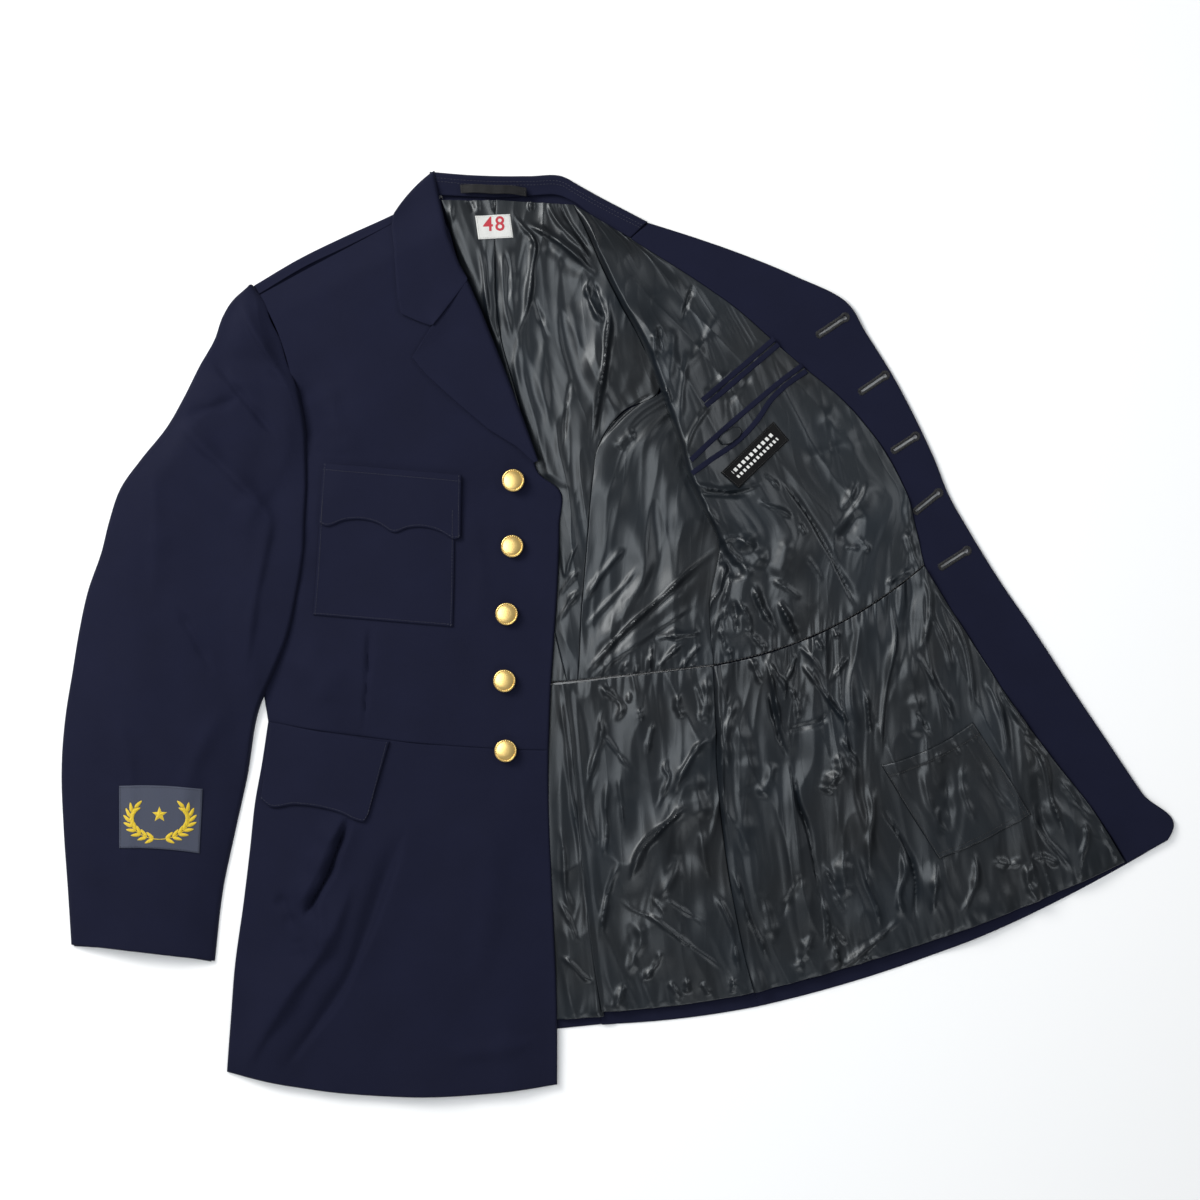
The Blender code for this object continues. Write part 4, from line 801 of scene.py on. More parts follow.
def between(rows, place, straight):
    """Row of a table at every place along the panel, on a smooth line through the rows or a straight one."""
    table = np.array(rows, float)
    knots = middle_line(rows)
    index = np.clip(np.searchsorted(knots, place, side="right") - 1, 0, len(rows) - 2)
    step = (knots[index + 1] - knots[index])[:, None]
    part = ((place - knots[index]) / step[:, 0])[:, None]
    before, after = table[index], table[index + 1]
    if straight or len(rows) < 3:
        return before + (after - before) * part
    rise = np.gradient(table, knots, axis=0)
    rise[0] = (table[1] - table[0]) / (knots[1] - knots[0])
    rise[-1] = (table[-1] - table[-2]) / (knots[-1] - knots[-2])
    square, cube = part ** 2, part ** 3
    return ((2 * cube - 3 * square + 1) * before + (cube - 2 * square + part) * step * rise[index]
            + (3 * square - 2 * cube) * after + (cube - square) * step * rise[index + 1])


def middle_line(rows):
    """Distance of each row from the first, along the middle of the panel."""
    middles = [((row.ax + row.bx) / 2, (row.ay + row.by) / 2) for row in rows]
    steps = [math.dist(first, second) for first, second in zip(middles, middles[1:])]
    return np.array([0] + list(np.cumsum(steps)))


def steps_across(length, near, count):
    """Distances from 0 to each length: close together at both ends, and even between them."""
    scale = np.minimum(1, length / 3 / near[-1])[:, None]
    close = np.array(near)[None, :] * scale
    even = close[:, -1:] + np.linspace(0, 1, count)[None, :] * (length[:, None] - 2 * close[:, -1:])
    return np.hstack([close[:, :-1], even, length[:, None] - close[:, -2::-1]])


def lay_out(rows, pitch, straight, inset):
    """Every point of a panel, as a grid of places: rows down it, columns across it."""
    near = CLOSE_STEPS if pitch < 5 else WIDE_STEPS
    total = middle_line(rows)[-1]
    down = steps_across(np.array([total]), near, max(2, round(total / pitch)))[0]
    ax, ay, bx, by, bow = between(rows, down, straight).T
    width = np.hypot(bx - ax, by - ay)
    across = steps_across(width, near, max(2, round(width.max() / pitch)))
    span = width[:, None]
    u = across / span
    swell = bow[:, None] * 4 * u * (1 - u)
    shift = inset[0] * (1 - u) - inset[1] * u
    run_x, run_y = (bx - ax)[:, None], (by - ay)[:, None]
    x = ax[:, None] + run_x * u + (shift * run_x - swell * run_y) / span
    y = ay[:, None] + run_y * u + (shift * run_y + swell * run_x) / span
    head = np.repeat(down[:, None], u.shape[1], 1)
    return Spot(x, y, u, head / total, across, span - across, head, total - head)


def edge_fall(spot, edges):
    """How far the edges of a piece fall, each in a quarter round."""
    total = 0
    for side, (radius, drop) in edges.items():
        depth = drop(spot) if callable(drop) else drop
        turned = np.clip(1 - getattr(spot, side) / radius, 0, 1)
        total = np.maximum(total, depth * (1 - np.sqrt(1 - turned ** 2)))
    return total


def deselect():
    """Nothing selected, nothing being edited."""
    if bpy.context.object and bpy.context.object.mode != "OBJECT":
        bpy.ops.object.mode_set(mode="OBJECT")
    bpy.ops.object.select_all(action="DESELECT")


def chosen(name):
    """The object that an operator has just added, under its own name."""
    piece = bpy.context.object
    piece.name = name
    piece.data.name = name
    return piece


def select_only(piece):
    deselect()
    piece.select_set(True)
    bpy.context.view_layer.objects.active = piece


def apply_modifiers(piece):
    select_only(piece)
    for change in list(piece.modifiers):
        bpy.ops.object.modifier_apply(modifier=change.name)


def set_points(piece, points):
    """Move every point of a piece, given in millimetres."""
    piece.data.vertices.foreach_set("co", (points * MM).astype(np.float32).ravel())
    piece.data.update()


def points_of(piece):
    """Every point of a piece, in millimetres."""
    points = np.zeros(len(piece.data.vertices) * 3, np.float32)
    piece.data.vertices.foreach_get("co", points)
    return points.reshape(-1, 3).astype(float) / MM


def grid_on(name, spot, height):
    """A grid whose points are moved to their places, with its first face upwards."""
    down, across = spot.x.shape
    deselect()
    bpy.ops.mesh.primitive_grid_add(x_subdivisions=across - 1, y_subdivisions=down - 1, size=1)
    piece = chosen(name)
    flat = points_of(piece) * MM
    column = np.round((flat[:, 0] + 0.5) * (across - 1)).astype(int)
    row = np.round((0.5 - flat[:, 1]) * (down - 1)).astype(int)
    turn = ((spot.x[0, -1] - spot.x[0, 0]) * (spot.y[0, 0] - spot.y[-1, 0])
            - (spot.y[0, -1] - spot.y[0, 0]) * (spot.x[0, 0] - spot.x[-1, 0]))
    if turn < 0:
        column = across - 1 - column
    set_points(piece, np.stack([spot.x[row, column], spot.y[row, column], height[row, column]], 1))
    corner = np.zeros(len(piece.data.loops), np.int32)
    piece.data.loops.foreach_get("vertex_index", corner)
    flat_map = np.stack([spot.left[row, column], spot.head[row, column]], 1)[corner] * MM
    piece.data.uv_layers[0].data.foreach_set("uv", flat_map.astype(np.float32).ravel())
    return piece


def give_wall(piece, wall):
    """Thickness below the upper face, in metres."""
    change = piece.modifiers.new("wall", "SOLIDIFY")
    change.thickness = wall
    change.offset = -1
    apply_modifiers(piece)
    set_points(piece, np.maximum(points_of(piece), (-1e4, -1e4, 0)))
    bpy.ops.object.shade_smooth_by_angle(angle=math.radians(55))


def dress(piece, finish, nodes):
    """Give a piece its finish and its place on the part, and let it stand for its solids."""
    piece.data.materials.clear()
    piece.data.materials.append(bpy.data.materials[finish])
    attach(piece, "root")
    if nodes:
        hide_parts(*nodes)
    return piece


def state_cut(rows):
    """Distances along the middle of the panel, which are worked out and not used."""
    knots = middle_line(rows)


KINDS = {"wool": ("navy wool", "navy_wool"), "satin": ("satin lining", "satin_lining"),
         "tape": ("black tape", "black_tape"), "label": ("white label", "white_label"),
         "badge": ("badge cloth", "badge_cloth")}


def lay_cloth(node, rows, height, edges, pitch, kind="wool", straight=False, inset=(0, 0)):
    """A panel of cloth in place of its solid."""
    spot = lay_out(rows, pitch, straight, inset)
    piece = grid_on(node + "_cloth", spot, height(spot) - edge_fall(spot, edges))
    sizes = bpy.context.scene.jacket_sizes
    give_wall(piece, {"wool": sizes.wool_wall, "satin": sizes.satin_wall}.get(kind, TRIM * MM))
    finish, slot = KINDS[kind]
    dress(piece, finish, [node])
    state_cut(rows)
    return piece


def upper_face(*pieces):
    """A function that gives the height of the highest of these pieces, in millimetres, at each place."""
    trees = [BVHTree.FromObject(piece, bpy.context.evaluated_depsgraph_get()) for piece in pieces]

    def at(x, y):
        level = np.full(x.shape, np.nan)
        for index in np.ndindex(x.shape):
            hits = [tree.ray_cast(Vector((x[index] * MM, y[index] * MM, 0.1)),
                                  Vector((0, 0, -1))) for tree in trees]
            found = [hit[0].z / MM for hit in hits if hit[0] is not None]
            if found:
                level[index] = max(found)
        if np.isnan(level).any():
            level = np.where(np.isnan(level), np.nanmean(level), level)
        return level
    return at


def evened(level, times):
    """Heights of a grid with their small bumps evened out."""
    for _ in range(times):
        wide = np.pad(level, 1, mode="edge")
        level = (wide[:-2, 1:-1] + wide[2:, 1:-1] + wide[1:-1, :-2] + wide[1:-1, 2:] + 4 * wide[1:-1,
                                                                                                1:-1]) / 8
    return level


def lay_patch(node, rows, ground, lift, edges, pitch, kind, even=2, relief=None, straight=False, wall=None):
    """A small piece laid on the upper face of what carries it."""
    spot = lay_out(rows, pitch, straight, (0, 0))
    level = evened(ground(spot.x, spot.y), even) + lift
    if relief:
        level = level + relief(spot)
    piece = grid_on(node + "_cloth", spot, level - edge_fall(spot, edges))
    give_wall(piece, (wall or TRIM) * MM)
    finish, slot = KINDS[kind]
    dress(piece, finish, [node])
    state_cut(rows)
    return piece


def stretch_of(line, spacing):
    """Places along a line at an even spacing, each with its heading."""
    points = np.array(line, float)
    lengths = np.hypot(*(points[1:] - points[:-1]).T)
    reach = np.concatenate(([0], np.cumsum(lengths)))
    places = np.linspace(0, reach[-1], max(2, round(reach[-1] / spacing) + 1))
    places = (places[:-1] + places[1:]) / 2
    x = np.interp(places, reach, points[:, 0])
    y = np.interp(places, reach, points[:, 1])
    segment = np.clip(np.searchsorted(reach, places, side="right") - 1, 0, len(lengths) - 1)
    heading = np.arctan2(*(points[segment + 1] - points[segment]).T[::-1])
    return x, y, heading


def sew(name, lines, ground, finish, spacing, size, across=False, lift=0.15):
    """Stitches along lines, one small spindle repeated for each, in one piece."""
    x, y, heading = (np.concatenate(parts) for parts in zip(*(stretch_of(line, spacing) for line in lines)))
    if across:
        heading = heading + math.pi / 2
    deselect()
    bpy.ops.mesh.primitive_ico_sphere_add(subdivisions=1, radius=1)
    piece = chosen(name)
    shape = points_of(piece) * MM * np.array(size) / 2
    repeat(piece, len(x))
    turned_x = x[:, None] + np.outer(np.cos(heading), shape[:, 0]) - np.outer(np.sin(heading), shape[:, 1])
    turned_y = y[:, None] + np.outer(np.sin(heading), shape[:, 0]) + np.outer(np.cos(heading), shape[:, 1])
    raised = (ground(x, y) + lift)[:, None] + shape[None, :, 2]
    set_points(piece, np.stack([turned_x, turned_y, raised], 2).reshape(-1, 3))
    bpy.ops.object.shade_smooth()
    return dress(piece, finish, [])


def repeat(piece, count):
    """Copies of a small shape in one mesh, one after another, to be moved to their places."""
    change = piece.modifiers.new("copies", "ARRAY")
    change.count = count
    apply_modifiers(piece)


class Value:
    """The value of a socket in a finish, which can be added, multiplied and compared."""

    def __init__(self, finish, socket):
        self.finish = finish
        self.socket = socket

    def maths(self, operation, *others, swapped=False):
        values = [self, *others][::-1] if swapped else [self, *others]
        return self.finish.node("ShaderNodeMath", {"operation": operation}, dict(enumerate(values)))

    def __add__(self, other):
        return self.maths("ADD", other)

    def __radd__(self, other):
        return self.maths("ADD", other)

    def __sub__(self, other):
        return self.maths("SUBTRACT", other)

    def __rsub__(self, other):
        return self.maths("SUBTRACT", other, swapped=True)

    def __mul__(self, other):
        return self.maths("MULTIPLY", other)

    def __rmul__(self, other):
        return self.maths("MULTIPLY", other)

    def __pow__(self, other):
        return self.maths("POWER", other)

    def over(self, limit):
        return self.maths("GREATER_THAN", limit)

    def under(self, limit):
        return self.maths("LESS_THAN", limit)

    def fraction(self):
        return self.maths("FRACT")

    def wave(self):
        return self.maths("SINE")

    def ridge(self):
        """Sharp backs where a noise from 0 to 1 crosses its middle."""
        return (1 - (self * 2 - 1).maths("ABSOLUTE")) ** 8


class Finish:
    """A material that is being made: its shader, and the nodes that feed it."""

    def __init__(self, name, settings):
        self.material = bpy.data.materials.new(name)
        self.material.use_nodes = True
        self.tree = self.material.node_tree
        self.shader = self.tree.nodes["Principled BSDF"]
        for socket, value in settings.items():
            self.shader.inputs[socket].default_value = value

    def node(self, kind, settings=None, values=None, output=0):
        made = self.tree.nodes.new(kind)
        for setting, value in (settings or {}).items():
            setattr(made, setting, value)
        for socket, value in (values or {}).items():
            if isinstance(value, Value):
                self.tree.links.new(value.socket, made.inputs[socket])
            else:
                made.inputs[socket].default_value = value
        return Value(self, made.outputs[output])

    def feed(self, socket, value):
        self.tree.links.new(value.socket, self.shader.inputs[socket])

    def mix(self, amount, first, second):
        return self.node("ShaderNodeMix", {"data_type": "RGBA"}, {0: amount, 6: first, 7: second}, output=2)

    def noise(self, places, scale, detail=2.0, output="Fac"):
        return self.node("ShaderNodeTexNoise", {"noise_dimensions": "3D"},
                         {"Vector": places, "Scale": scale, "Detail": detail}, output=output)

    def places(self, kind):
        return self.node("ShaderNodeTexCoord", output=kind)

    def axes(self, places):
        node = self.node("ShaderNodeSeparateXYZ", values={0: places}).socket.node
        return [Value(self, socket) for socket in node.outputs]

    def raise_by(self, height, distance, strength=1.0):
        """Bump of the surface by a height from 0 to 1, which stands for a distance in metres."""
        bump = self.node("ShaderNodeBump",
                         values={"Height": height, "Distance": distance, "Strength": strength})
        self.feed("Normal", bump)


def darker(colour, share):
    return tuple(channel * share for channel in colour[:3]) + (1,)


def wool_finish(name, colour):
    """Fine worsted twill: a soft cloth with a faint diagonal and a speckle of fibres."""
    finish = Finish(name, {"Roughness": 0.86, "Sheen Weight": 0.05, "Sheen Roughness": 0.4,
                           "Sheen Tint": (0.25, 0.3, 0.6, 1), "Specular IOR Level": 0.14})
    places = finish.places("UV")
    x, y, _ = finish.axes(places)
    twill = ((x + y * 1.25) * (2 * math.pi / 0.0009)).wave() * 0.5 + 0.5
    fibre = finish.noise(places, 1500, 2.0)
    patches = finish.noise(places, 22, 3.0)
    finish.feed("Base Color", finish.mix(fibre * 0.6 + patches * 0.4, darker(colour, 0.6),
                                         darker(colour, 1.4)))
    finish.feed("Roughness", 0.78 + fibre * 0.16)
    finish.raise_by(twill * 0.5 + fibre, 0.00012)
    return finish.material


def satin_finish(name, colour):
    """Lining satin: smooth and glossy along its folds, with fine crinkles."""
    finish = Finish(name, {"Roughness": 0.34, "IOR": 1.5, "Specular Tint": (0.93, 0.97, 1.0, 1)})
    places = finish.places("UV")
    stretched = finish.node("ShaderNodeMapping", values={0: places, "Scale": (1.0, 0.3, 1.0)})
    narrow = finish.node("ShaderNodeMapping",
                         values={0: places, "Rotation": (0, 0, 0.12), "Scale": (1.0, 0.16, 1.0)})
    cool = finish.noise(places, 9, 2.0)
    crinkle = finish.noise(stretched, 55, 2.0)
    folds = finish.noise(narrow, 48, 1.0).ridge()
    fine = finish.noise(stretched, 700, 1.0)
    warm = (colour[0] * 1.1, colour[1] * 0.98, colour[2] * 0.9, 1)
    blue = (colour[0] * 0.6, colour[1] * 1.04, colour[2] * 1.4, 1)
    finish.feed("Base Color", finish.mix(cool * 2.4 - 0.7, warm, blue))
    finish.feed("Roughness", 0.29 + cool * 0.12 + fine * 0.06)
    finish.raise_by(crinkle * 0.5 + folds * 0.1 + fine * 0.02, 0.0011)
    return finish.material


def brass_finish(name, colour):
    """Gilded brass with a hammered face, its colour darker in the hollows: painted shade, with a random mottled
    tone.
    """
    finish = Finish(name, {"Metallic": 1.0, "Roughness": 0.42})
    places = finish.places("Object")
    dents_and_shade = finish.node("ShaderNodeTexVoronoi", values={"Vector": places, "Scale": 480})
    cloud = finish.noise(places, 210, 3.0)
    # Painted shade: the colour is darker where the hammered face is low, and the cloud also gives it a random
    # mottled tone.
    finish.feed("Base Color", finish.mix(cloud * 2.2 + dents_and_shade * 0.6 - 0.9, darker(colour, 0.4), colour))
    finish.feed("Roughness", 0.55 + cloud * 0.14)
    finish.raise_by(dents_and_shade + cloud * 0.6, 0.0009)
    return finish.material


def tape_finish(name, colour):
    """Black ribbed tape."""
    finish = Finish(name, {"Roughness": 0.5, "Specular IOR Level": 0.25})
    places = finish.places("UV")
    x, _, _ = finish.axes(places)
    rib = (x * (2 * math.pi / 0.0008)).wave() * 0.5 + 0.5
    cloud = finish.noise(places, 260, 2.0)
    finish.feed("Base Color", finish.mix(cloud, darker(colour, 0.6), darker(colour, 1.5)))
    finish.feed("Roughness", 0.5 + cloud * 0.2)
    finish.raise_by(rib, 0.00012)
    return finish.material


def care_label_finish(name, colour, white):
    """Black woven label with two rows of small white dashes."""
    finish = Finish(name, {"Roughness": 0.75, "Specular IOR Level": 0.15})
    places = finish.places("UV")
    x, y, _ = finish.axes(places)
    cloud = finish.noise(places, 500, 2.0)
    upper = (y * 1000).over(5.5) * (y * 1000).under(9.0) * (x * 1000 * 0.2 + 0.1).fraction().under(0.6)
    lower = (y * 1000).over(12.0) * (y * 1000).under(15.0) * (x * 1000 * 0.24 + 0.4).fraction().under(0.56)
    within = (x * 1000).over(7) * (x * 1000).under(58)
    mark = (upper + lower) * within * (0.55 + cloud * 0.5)
    finish.feed("Base Color", finish.mix(mark, darker(colour, 1.0), white))
    finish.raise_by(mark + cloud * 0.4, 0.0002)
    return finish.material


def woven_finish(name, colour, roughness, weave):
    """Plain woven cloth: threads that cross, and a cloudy tone."""
    finish = Finish(name, {"Roughness": roughness})
    places = finish.places("UV")
    x, y, _ = finish.axes(places)
    cross = ((x * (2 * math.pi / weave)).wave() * (y * (2 * math.pi / weave)).wave()) * 0.5 + 0.5
    cloud = finish.noise(places, 90, 3.0)
    speckle = finish.noise(places, 1100, 1.0)
    finish.feed("Base Color", finish.mix(speckle * 0.6 + cloud * 0.4, darker(colour, 0.72),
                                         darker(colour, 1.25)))
    finish.feed("Roughness", roughness - 0.1 + cloud * 0.2)
    finish.raise_by(cross + speckle * 0.5, 0.00018)
    return finish.material


def thread_finish(name, colour, roughness):
    """Twisted thread, with a painted highlight: its colour is a little lighter where its twist stands up."""
    finish = Finish(name, {"Roughness": roughness, "Sheen Weight": 0.15})
    places = finish.places("Object")
    x, y, _ = finish.axes(places)
    twist_and_highlight = ((x + y * 0.6) * (2 * math.pi / 0.0006)).wave() * 0.5 + 0.5
    cloud = finish.noise(places, 700, 2.0)
    # Painted highlight: the colour is lighter where the twist stands up.
    finish.feed("Base Color", finish.mix(twist_and_highlight * 0.6 + cloud * 0.4, darker(colour, 0.7),
                                         darker(colour, 1.15)))
    finish.feed("Roughness", roughness - 0.08 + cloud * 0.16)
    finish.raise_by(twist_and_highlight, 0.00015)
    return finish.material


# Panels that the solids trim to an outline are laid here as rows of their own
CHEST_POCKET = rows([
    (-270, 122, -147, 113), (-272, 88, -147.5, 80), (-274.5, 50, -148, 44), (-277, 17, -149, 6),
])
CHEST_FLAP = rows([
    (-268, 156, -271, 101), (-262, 155.6, -266, 98), (-246, 154, -248, 103), (-231, 152.9, -233, 104),
    (-215, 151.5, -217, 100), (-203, 150.4, -203, 92), (-190, 149.3, -190, 96), (-179, 148.3, -179, 97),
    (-160, 146.7, -161, 93), (-147, 145.5, -147, 86), (-141, 145, -142, 88),
])
HIP_FLAP = rows([
    (-317, -81, -326, -152), (-311, -82, -319, -158), (-290, -86, -296, -157), (-266, -90, -273, -159),
    (-246, -93, -251, -164.5), (-226, -96.5, -237, -171), (-215, -98, -230, -171.5),
    (-207, -98.5, -226, -163),
])
SLEEVE_BADGE = rows([
    (-454, -139, -378, -142, 2), (-454, -168, -379.5, -171, 2), (-454, -196, -381, -201, 2),
])
INNER_POCKET = rows([
    (242, -120, 326, -81, -5), (268, -163, 353, -123), (295, -206, 379, -165, -3),
])
CARE_LABEL = rows([
    (96, 147, 144, 194), (112, 133, 158, 177),
])
POCKET_TAB = rows([
    (93.5, 177.5, 97.5, 172.5), (96, 181.5, 103, 173), (102, 186, 109, 177), (108, 189, 113.5, 181),
    (112.5, 189, 115, 185),
])

# The embroidery on the sleeve badge, about the middle of the badge
BADGE_MIDDLE = (-416.5, -169.0)
STAR_PLACE = (0.0, 4.0)
STAR_RADIUS = 10.0
LAUREL_HALF_WIDTH = 27.0
LAUREL_HALF_HEIGHT = 18.5
LEAF_LENGTH = 9.0
LEAF_WIDTH = 3.2
LEAF_PAIRS = 8

# Profile of a button, from the middle of its back to the middle of its face: radius and height
BUTTON_PROFILE = [
    (3.2, 0), (3.2, 2.4), (5.2, 2.6), (8.8, 3.0), (9.9, 3.4), (10.3, 4.0), (10.2, 4.6), (9.7, 5.0),
    (9.0, 4.9),
    (8.6, 4.5), (8.1, 4.6), (7.0, 4.85), (5.6, 5.05), (3.9, 5.2), (2.0, 5.28), (0.5, 5.3),
]


def strip_rows(line, width):
    """Rows of a narrow strip along a line."""
    rows = []
    for index, (x, y) in enumerate(line):
        x0, y0 = line[max(index - 1, 0)]
        x1, y1 = line[min(index + 1, len(line) - 1)]
        run = math.hypot(x1 - x0, y1 - y0)
        side_x, side_y = (y1 - y0) / run * width / 2, -(x1 - x0) / run * width / 2
        rows.append(Row(x - side_x, y - side_y, x + side_x, y + side_y, 0))
    return rows


def shell_rows(rows, hem_bow=0):
    """The shell of the left front, from its side, or inside the rolled armhole, to its front edge."""
    return [Row(row.side_x + ARMHOLE_SET_BACK * float(smooth((row.side_y - 50) / 60)), row.side_y,
                row.edge_x, row.edge_y, hem_bow * index / (len(rows) - 1)) for index, row in enumerate(rows)]


def lining_rows(rows):
    return [Row(row.side_x, row.side_y, row.inner_x, row.inner_y, row.bow) for row in rows]


def facing_rows(rows):
    return [Row(row.inner_x, row.inner_y, row.edge_x, row.edge_y, 0) for row in rows]


def keyhole(slit, gap):
    """Outline of a buttonhole: a slit with a round eye at its outer end, widened by a gap."""
    run_x, run_y = slit.tail_x - slit.eye_x, slit.tail_y - slit.eye_y
    length = math.hypot(run_x, run_y)
    heading = math.atan2(run_y, run_x)
    radius = HOLE_EYE_RADIUS + gap
    half = HOLE_WIDTH / 2 + gap
    opening = math.asin(half / radius)
    points = []
    for index in range(15):
        turn = heading + opening + (2 * math.pi - 2 * opening) * index / 14
        points.append((slit.eye_x + radius * math.cos(turn), slit.eye_y + radius * math.sin(turn)))
    side_x, side_y = -run_y / length * half, run_x / length * half
    far_x, far_y = slit.tail_x + run_x / length * gap, slit.tail_y + run_y / length * gap
    return points + [(far_x - side_x, far_y - side_y), (far_x + side_x, far_y + side_y)]


def side_of(rows, edge, gap, reach=(0, 1)):
    """Line of stitches along one edge of a panel, a gap inside it."""
    spot = lay_out(rows, 4, False, (0, 0))
    if edge in ("left", "right"):
        far = spot.left[:, -1]
        place = gap if edge == "left" else far - gap
        x = [np.interp(place if edge == "left" else place[i], spot.left[i],
                       spot.x[i]) for i in range(len(far))]
        y = [np.interp(place if edge == "left" else place[i], spot.left[i],
                       spot.y[i]) for i in range(len(far))]
    else:
        far = spot.head[-1]
        place = [gap if edge == "head" else total - gap for total in far]
        x = [np.interp(place[j], spot.head[:, j], spot.x[:, j]) for j in range(len(far))]
        y = [np.interp(place[j], spot.head[:, j], spot.y[:, j]) for j in range(len(far))]
    line = list(zip(x, y))
    first, last = round(reach[0] * (len(line) - 1)), round(reach[1] * (len(line) - 1))
    return line[first:last + 1]


class JacketSizes(bpy.types.PropertyGroup):
    wool_wall: FloatProperty(name="Wool", description="Thickness of the wool cloth", default=WOOL * MM,
                             unit="LENGTH", subtype="DISTANCE", min=0.001, max=0.003)
    satin_wall: FloatProperty(name="Satin", description="Thickness of the lining", default=1.0 * MM,
                              unit="LENGTH", subtype="DISTANCE", min=0.0005, max=0.002)
    stitch_length: FloatProperty(name="Stitch", description="Length of one topstitch", default=2.2 * MM,
                                 unit="LENGTH", subtype="DISTANCE", min=0.001, max=0.005)
    visible_pitch: FloatProperty(name="Mesh where seen",
                                 description="Distance between points of cloth that shows",
                                 default=2.4 * MM, unit="LENGTH", subtype="DISTANCE", min=0.002, max=0.01)
    hidden_pitch: FloatProperty(name="Mesh below",
                                description="Distance between points of cloth that is covered",
                                default=9.0 * MM, unit="LENGTH", subtype="DISTANCE", min=0.005, max=0.02)
    size_number: StringProperty(name="Size number", description="Plain number on the white label",
                                default="48")


class JacketColours(bpy.types.PropertyGroup):
    navy: FloatVectorProperty(name="Wool", description="Navy wool", subtype="COLOR", size=4, min=0, max=1,
                              default=(0.0057, 0.0068, 0.0205, 1))
    satin: FloatVectorProperty(name="Satin", description="Charcoal lining", subtype="COLOR", size=4, min=0,
                               max=1,
                               default=(0.0050, 0.0062, 0.0078, 1))
    brass: FloatVectorProperty(name="Brass", description="Gilded buttons", subtype="COLOR", size=4, min=0,
                               max=1,
                               default=(0.74, 0.44, 0.08, 1))
    yellow: FloatVectorProperty(name="Yellow thread", description="Embroidery", subtype="COLOR", size=4,
                                min=0, max=1,
                                default=(0.75, 0.53, 0.02, 1))
    badge: FloatVectorProperty(name="Badge", description="Cloth of the sleeve badge", subtype="COLOR", size=4,
                               min=0,
                               max=1, default=(0.045, 0.052, 0.08, 1))
    red: FloatVectorProperty(name="Red", description="Number on the white label", subtype="COLOR", size=4,
                             min=0,
                             max=1, default=(0.5, 0.03, 0.05, 1))


class JACKET_OT_finishes(bpy.types.Operator):
    """Make the finish of every kind of cloth, thread and metal"""
    bl_idname = "jacket.finishes"
    bl_label = "Finishes"

    def execute(self, context):
        colours = context.scene.jacket_colours
        wool_finish("navy wool", tuple(colours.navy))
        satin_finish("satin lining", tuple(colours.satin))
        brass_finish("brass", tuple(colours.brass))
        tape_finish("black tape", (0.006, 0.006, 0.007, 1))
        care_label_finish("care label", (0.003, 0.003, 0.0035, 1), (0.8, 0.8, 0.78, 1))
        woven_finish("white label", (0.62, 0.62, 0.6, 1), 0.8, 0.0008)
        woven_finish("badge cloth", tuple(colours.badge), 0.85, 0.0012)
        thread_finish("yellow thread", tuple(colours.yellow), 0.5)
        thread_finish("navy thread", (0.011, 0.013, 0.032, 1), 0.6)
        thread_finish("black thread", (0.004, 0.004, 0.005, 1), 0.45)
        thread_finish("charcoal thread", (0.006, 0.006, 0.007, 1), 0.5)
        thread_finish("white thread", (0.6, 0.6, 0.58, 1), 0.7)
        thread_finish("red print", tuple(colours.red), 0.8)
        return {"FINISHED"}


class JACKET_OT_back(bpy.types.Operator):
    """Make the back of the shell, which lies on the surface"""
    bl_idname = "jacket.back"
    bl_label = "Back"

    def execute(self, context):
        pitch = context.scene.jacket_sizes.hidden_pitch / MM
        seam = {"right": SEAM_EDGE, "foot": SEAM_EDGE}
        lay_cloth("back_right", BACK_RIGHT, back, seam, pitch, inset=(3, 0))
        lay_cloth("back_left", BACK_LEFT, back, {"left": SEAM_EDGE, "foot": SEAM_EDGE}, pitch)
        hem = {"foot": (2.0, 1.4)}
        lay_cloth("back_skirt_right", BACK_SKIRT_RIGHT, back, hem, pitch / 2, inset=(3, 0))
        lay_cloth("back_skirt_left", BACK_SKIRT_LEFT, back_skirt_left, hem | {"left": (1.2, 0.9)}, pitch / 2,
                  inset=(-VENT_LAP, -0.4))
        return {"FINISHED"}


class JACKET_OT_right_front(bpy.types.Operator):
    """Make the closed right front: bodice, skirt, and the back's shoulder that rolls forward over it"""
    bl_idname = "jacket.right_front"
    bl_label = "Right front"

    def execute(self, context):
        pitch = context.scene.jacket_sizes.visible_pitch / MM
        lay_cloth("front_right", FRONT_RIGHT, front_right,
                  {"left": (3.0, side_drop), "right": TURNED_EDGE, "head": (0.6, 0.4), "foot": SEAM_EDGE},
                  pitch)
        lay_cloth("front_skirt_right", FRONT_SKIRT_RIGHT, front_skirt_right,
                  {"left": (3.5, 3.7), "right": TURNED_EDGE, "head": SEAM_EDGE, "foot": TURNED_EDGE}, pitch)
        lay_cloth("back_shoulder_right", SHOULDER_RIGHT, front_right,
                  {"left": (3.5, 3.6), "right": (0.6, 0.4)}, pitch)
        return {"FINISHED"}


